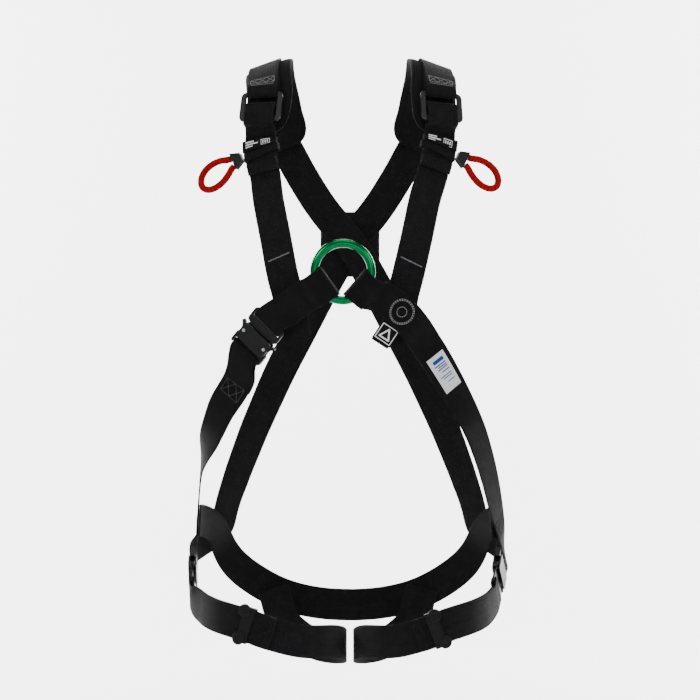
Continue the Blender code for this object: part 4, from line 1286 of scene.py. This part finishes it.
for side in (-1, 1):
    path, word, s = SHOULDER[side], SIDES[side], keeper_spot(side)
    half = WEB_WIDTH / 2
    low, high = KEEPER_LIFT - 2.8, KEEPER_LIFT + PLY_STEP + 2.8
    edges = sorted((side * (half + 2.5), -side * (half + 1.3)))
    tilt = -side * KEEPER_TILT
    keeper = band(f"band_printed_{word}", path, s - 6, s + 7, *edges, low, high, 1.2, "label_black", tilt)
    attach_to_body(keeper, HARNESS)
    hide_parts(f"printed_keeper_{word}")

    def on_keeper(u, v, path=path, s=s, high=high, tilt=tilt):
        _, _, normal = path.axes(s + v)
        return path.place(s + v + tilt * u, u, high + 0.85), normal

    marks = [(-19, -7, 3.6, 5.4), (-19, -1, 0.4, 2.4), (-19, -9, -2.8, -1.0)]
    frame_marks = [(3, 16, 4.2, 5.0), (3, 16, -4.4, -3.6), (3, 3.8, -4.4, 5.0), (15.2, 16, -4.4, 5.0)]
    bars = [(5.4 + 3.2 * k, 7.0 + 3.2 * k, -2.2, 3.0) for k in range(3)]
    for k, (u0, u1, v0, v1) in enumerate(marks + frame_marks + bars):
        mark = patch(f"print_keeper_{word}_{k}", on_keeper, (u0, u1, v0, v1), "print_white", 0.12, 2)
        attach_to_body(mark, HARNESS)
    edges = sorted((side * (half + 1.3), -side * (half + 3.5)))
    strip = band(f"band_loop_{word}", path, s - 19, s - 8, *edges, low, high, 1.2, "label_black", tilt)
    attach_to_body(strip, HARNESS)
    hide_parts(f"parking_loop_band_{word}")
    bench = loop_bench(side)
    points = [bench.place(u, side * v, 0) for u, v in LOOP_POINTS]
    loop, route, length = round_bar(f"cord_parking_{word}", points, LOOP_R, "cord", steps=5)
    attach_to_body(loop, f"parking_loop_{word}")
    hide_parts(f"parking_loop_{word}")
    leg = LEG[side]
    s = leg_spot(side, LEG_KEEPER_X[side])
    half += 1.6
    clip = band(f"band_leg_{word}", leg, s - 7, s + 7, -half, half, 0.3, 9.2, 1.4, "plastic")
    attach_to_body(clip, f"leg_keeper_{word}")
    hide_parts(f"leg_keeper_{word}")
    for end in (-1, 1):
        which = "low" if end < 0 else "high"
        knob = button(f"plastic_leg_lobe_{word}_{which}", leg, s - 4.5, end * (half - 4.5), 8.2)
        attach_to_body(knob, f"leg_keeper_{word}")

# ---------------------------------------------------------------- rings

bench = ring_bench()
steps = 48
circle_points = [
    bench.place(
        (RING_OD / 2 - RING_TUBE) * math.cos(math.tau * k / steps),
        (RING_OD / 2 - RING_TUBE) * math.sin(math.tau * k / steps),
    )
    for k in range(steps)
]
ring_piece, _, _ = round_bar("metal_sternal_ring", circle_points, RING_TUBE, "green_metal", True, 24, 3)
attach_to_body(ring_piece, "sternal_ring")
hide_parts("sternal_ring")
up, out = Vector((0, 0, 1)), Vector((0, 1, 0))
bench = Bench(back(0, DORSAL_Z) + out * DORSAL_OFF, up, out)
points = [(D_BAR_U, -24), (D_BAR_U, -8), (D_BAR_U, 8), (D_BAR_U, 24), (D_BAR_U - 3, 30), (D_BAR_U - 9, 33)]
for k in range(13):
    a = math.radians(180 * k / 12)
    points.append((10 - 30 * math.sin(a), 33 * math.cos(a)))
points += [(D_BAR_U - 9, -33), (D_BAR_U - 3, -30)]
d_ring, _, _ = round_bar(
    "metal_dorsal_ring", [bench.place(u, v, D_BAR_N) for u, v in points], D_RADIUS, "steel", True, 16, 3
)
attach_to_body(d_ring, "dorsal_ring")
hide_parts("dorsal_ring")

# ---------------------------------------------------------------- labels

corner = front(46, -364)
normal = gradient(torso, corner).normalized()
tag = Bench(corner + normal * 6.3, Vector((-0.55, 0, -0.83)), normal)


def on_tag(u, v, lift=0.8):
    sag = 0.0006 * (u * u)
    return tag.place(u, v, lift - sag), tag.n


def label_piece(name, place, outline, look, node=None, thick=0.12, steps=6):
    obj = patch(name, place, outline, look, thick, steps)
    if node:
        attach(obj, node)
    else:
        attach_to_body(obj, HARNESS)
    return obj


cloth = label_piece(
    "label_tag", lambda u, v: on_tag(u, v, -0.7), (-18, 13, -13.5, 13.5), "label_black", thick=1.4
)
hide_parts("attachment_tag")
border = ((-10.5, -9.3, -11, 11), (10, 11.2, -11, 11), (-10.5, 11.2, -11.6, -10.4), (-10.5, 11.2, 10.4, 11.6))
for k, outline in enumerate(border):
    label_piece(f"print_tag_edge_{k}", lambda u, v: on_tag(u, v, 0.72), outline, "print_white")
corners_of_sign = ((-6.5, 0), (6.5, 7), (6.5, -7))
for k in range(3):
    (u0, v0), (u1, v1) = corners_of_sign[k], corners_of_sign[(k + 1) % 3]
    long = math.hypot(u1 - u0, v1 - v0)
    du, dv = (u1 - u0) / long, (v1 - v0) / long

    def on_side(a, b, u0=u0, v0=v0, du=du, dv=dv):
        return on_tag(u0 + du * a - dv * b, v0 + dv * a + du * b, 0.72)

    label_piece(f"print_tag_sign_{k}", on_side, (-0.6, long + 0.6, -1.1, 1.1), "print_white")
label_piece(
    "label_tag_under", lambda u, v: on_tag(u, v, -2.6), (-16, 16, -12.5, 12.5), "label_black", thick=1.2
)

left = STRAPS["chest_strap_left"]
d_label = left.nearest(front(120, -412))


def on_label(u, v, lift=0.35):
    p, _, _, out = left.spot(d_label + u, v, lift)
    return p, out


maker = label_piece(
    "label_maker", on_label, (-26, 26, -14, 14), "label_white", node="chest_strap_left", thick=0.5, steps=14
)
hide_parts("maker_label")
lines = (
    (-20, -15, -9, 8), (-12.5, -11, -9, 9), (-9.5, -8, -9, 5), (-6.5, -5, -9, 7), (-2, -0.6, -9, 3),
    (4, 5.2, -9, 9), (7, 8.2, -9, 6), (13, 14.2, -9, 2),
)
for k, outline in enumerate(lines):
    label_piece(
        f"print_maker_{k}", lambda u, v: on_label(u, v, 0.86), outline, "print_blue", node="chest_strap_left"
    )

# ---------------------------------------------------------------- drawn straps

for obj, node, length, width in DRAWN:
    attach(obj, node)
    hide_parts(node)

# ---------------------------------------------------------------- hard parts

for name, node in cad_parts.items():
    if node.hide_render:
        continue
    metal = "steel" if "rivet" in name else "dark_lever" if "lever" in name else "black_metal"
    if "dorsal_plate" in name or "collar" in name:
        metal = "plastic"
    node.data.materials.clear()
    node.data.materials.append(LOOKS[metal])
    edge = node.modifiers.new("edge", "BEVEL")
    edge.width = 0.45 * MM
    edge.segments = 2
    edge.angle_limit = math.radians(50)
    edge.harden_normals = True

# ---------------------------------------------------------------- studio

OBJECT_AIM = (0, 0, -0.35)
SWEEP_AIM = (0, 7.5, -0.5)
WORLD_LIGHT = 0.45
CAMERA_PLACE = (0, -4.5, -0.3854)
CAMERA_LENS, CAMERA_SENSOR = 175.32, 36


def studio():
    """A pale sweep, four soft lamps on the harness, two on the sweep, and the camera."""
    bm = bmesh.new()
    rows = []
    for k in range(26):
        if k < 8:
            y, z = -30 + k * 4.5, -1.35
        elif k < 18:
            a = math.radians(9 * (k - 8))
            y, z = 6.0 + 1.5 * math.sin(a), 0.15 - 1.5 * math.cos(a)
        else:
            y, z = 7.5, 0.15 + 0.6 * (k - 17)
        rows.append([bm.verts.new((x, y, z)) for x in (-30, -8, 8, 30)])
    for one, two in zip(rows, rows[1:]):
        for k in range(3):
            bm.faces.new((one[k], one[k + 1], two[k + 1], two[k]))
    mesh = bpy.data.meshes.new("sweep")
    bm.to_mesh(mesh)
    bm.free()
    mesh.shade_smooth()
    look = Look("sweep", (0.86, 0.86, 0.86), 0.9)
    look.blend_color(look.noise(3), (0.93, 0.93, 0.93), (0.95, 0.95, 0.95))
    mesh.materials.append(look.material)
    sweep = bpy.data.objects.new("sweep", mesh)
    bpy.context.scene.collection.objects.link(sweep)
    lamps = (
        ("lamp_left", (-2.2, -2.4, 1.2), OBJECT_AIM, 1.6, 38),
        ("lamp_right", (2.4, -2.0, 0.9), OBJECT_AIM, 1.6, 28),
        ("lamp_top", (0.0, -0.6, 2.4), OBJECT_AIM, 2.0, 24),
        ("lamp_front", (0.3, -3.6, -0.1), OBJECT_AIM, 1.2, 12),
        ("lamp_sweep_left", (-4.0, 4.2, 1.8), SWEEP_AIM, 2.0, 900),
        ("lamp_sweep_right", (4.0, 4.2, 1.8), SWEEP_AIM, 2.0, 900),
    )
    for name, place, aim, size, power in lamps:
        lamp = bpy.data.lights.new(name, "AREA")
        lamp.shape = "DISK"
        lamp.size = size
        lamp.energy = power
        obj = bpy.data.objects.new(name, lamp)
        obj.location = place
        obj.rotation_euler = (Vector(aim) - Vector(place)).to_track_quat("-Z", "Y").to_euler()
        bpy.context.scene.collection.objects.link(obj)
    world = bpy.data.worlds.new("studio")
    world.use_nodes = True
    world.node_tree.nodes["Background"].inputs[0].default_value = (1, 1, 1, 1)
    world.node_tree.nodes["Background"].inputs[1].default_value = WORLD_LIGHT
    bpy.context.scene.world = world
    camera = bpy.data.cameras.new("camera")
    camera.sensor_width = CAMERA_SENSOR
    camera.lens = CAMERA_LENS
    obj = bpy.data.objects.new("camera", camera)
    obj.location = CAMERA_PLACE
    obj.rotation_euler = (math.radians(90), 0, 0)
    bpy.context.scene.collection.objects.link(obj)
    bpy.context.scene.camera = obj


studio()
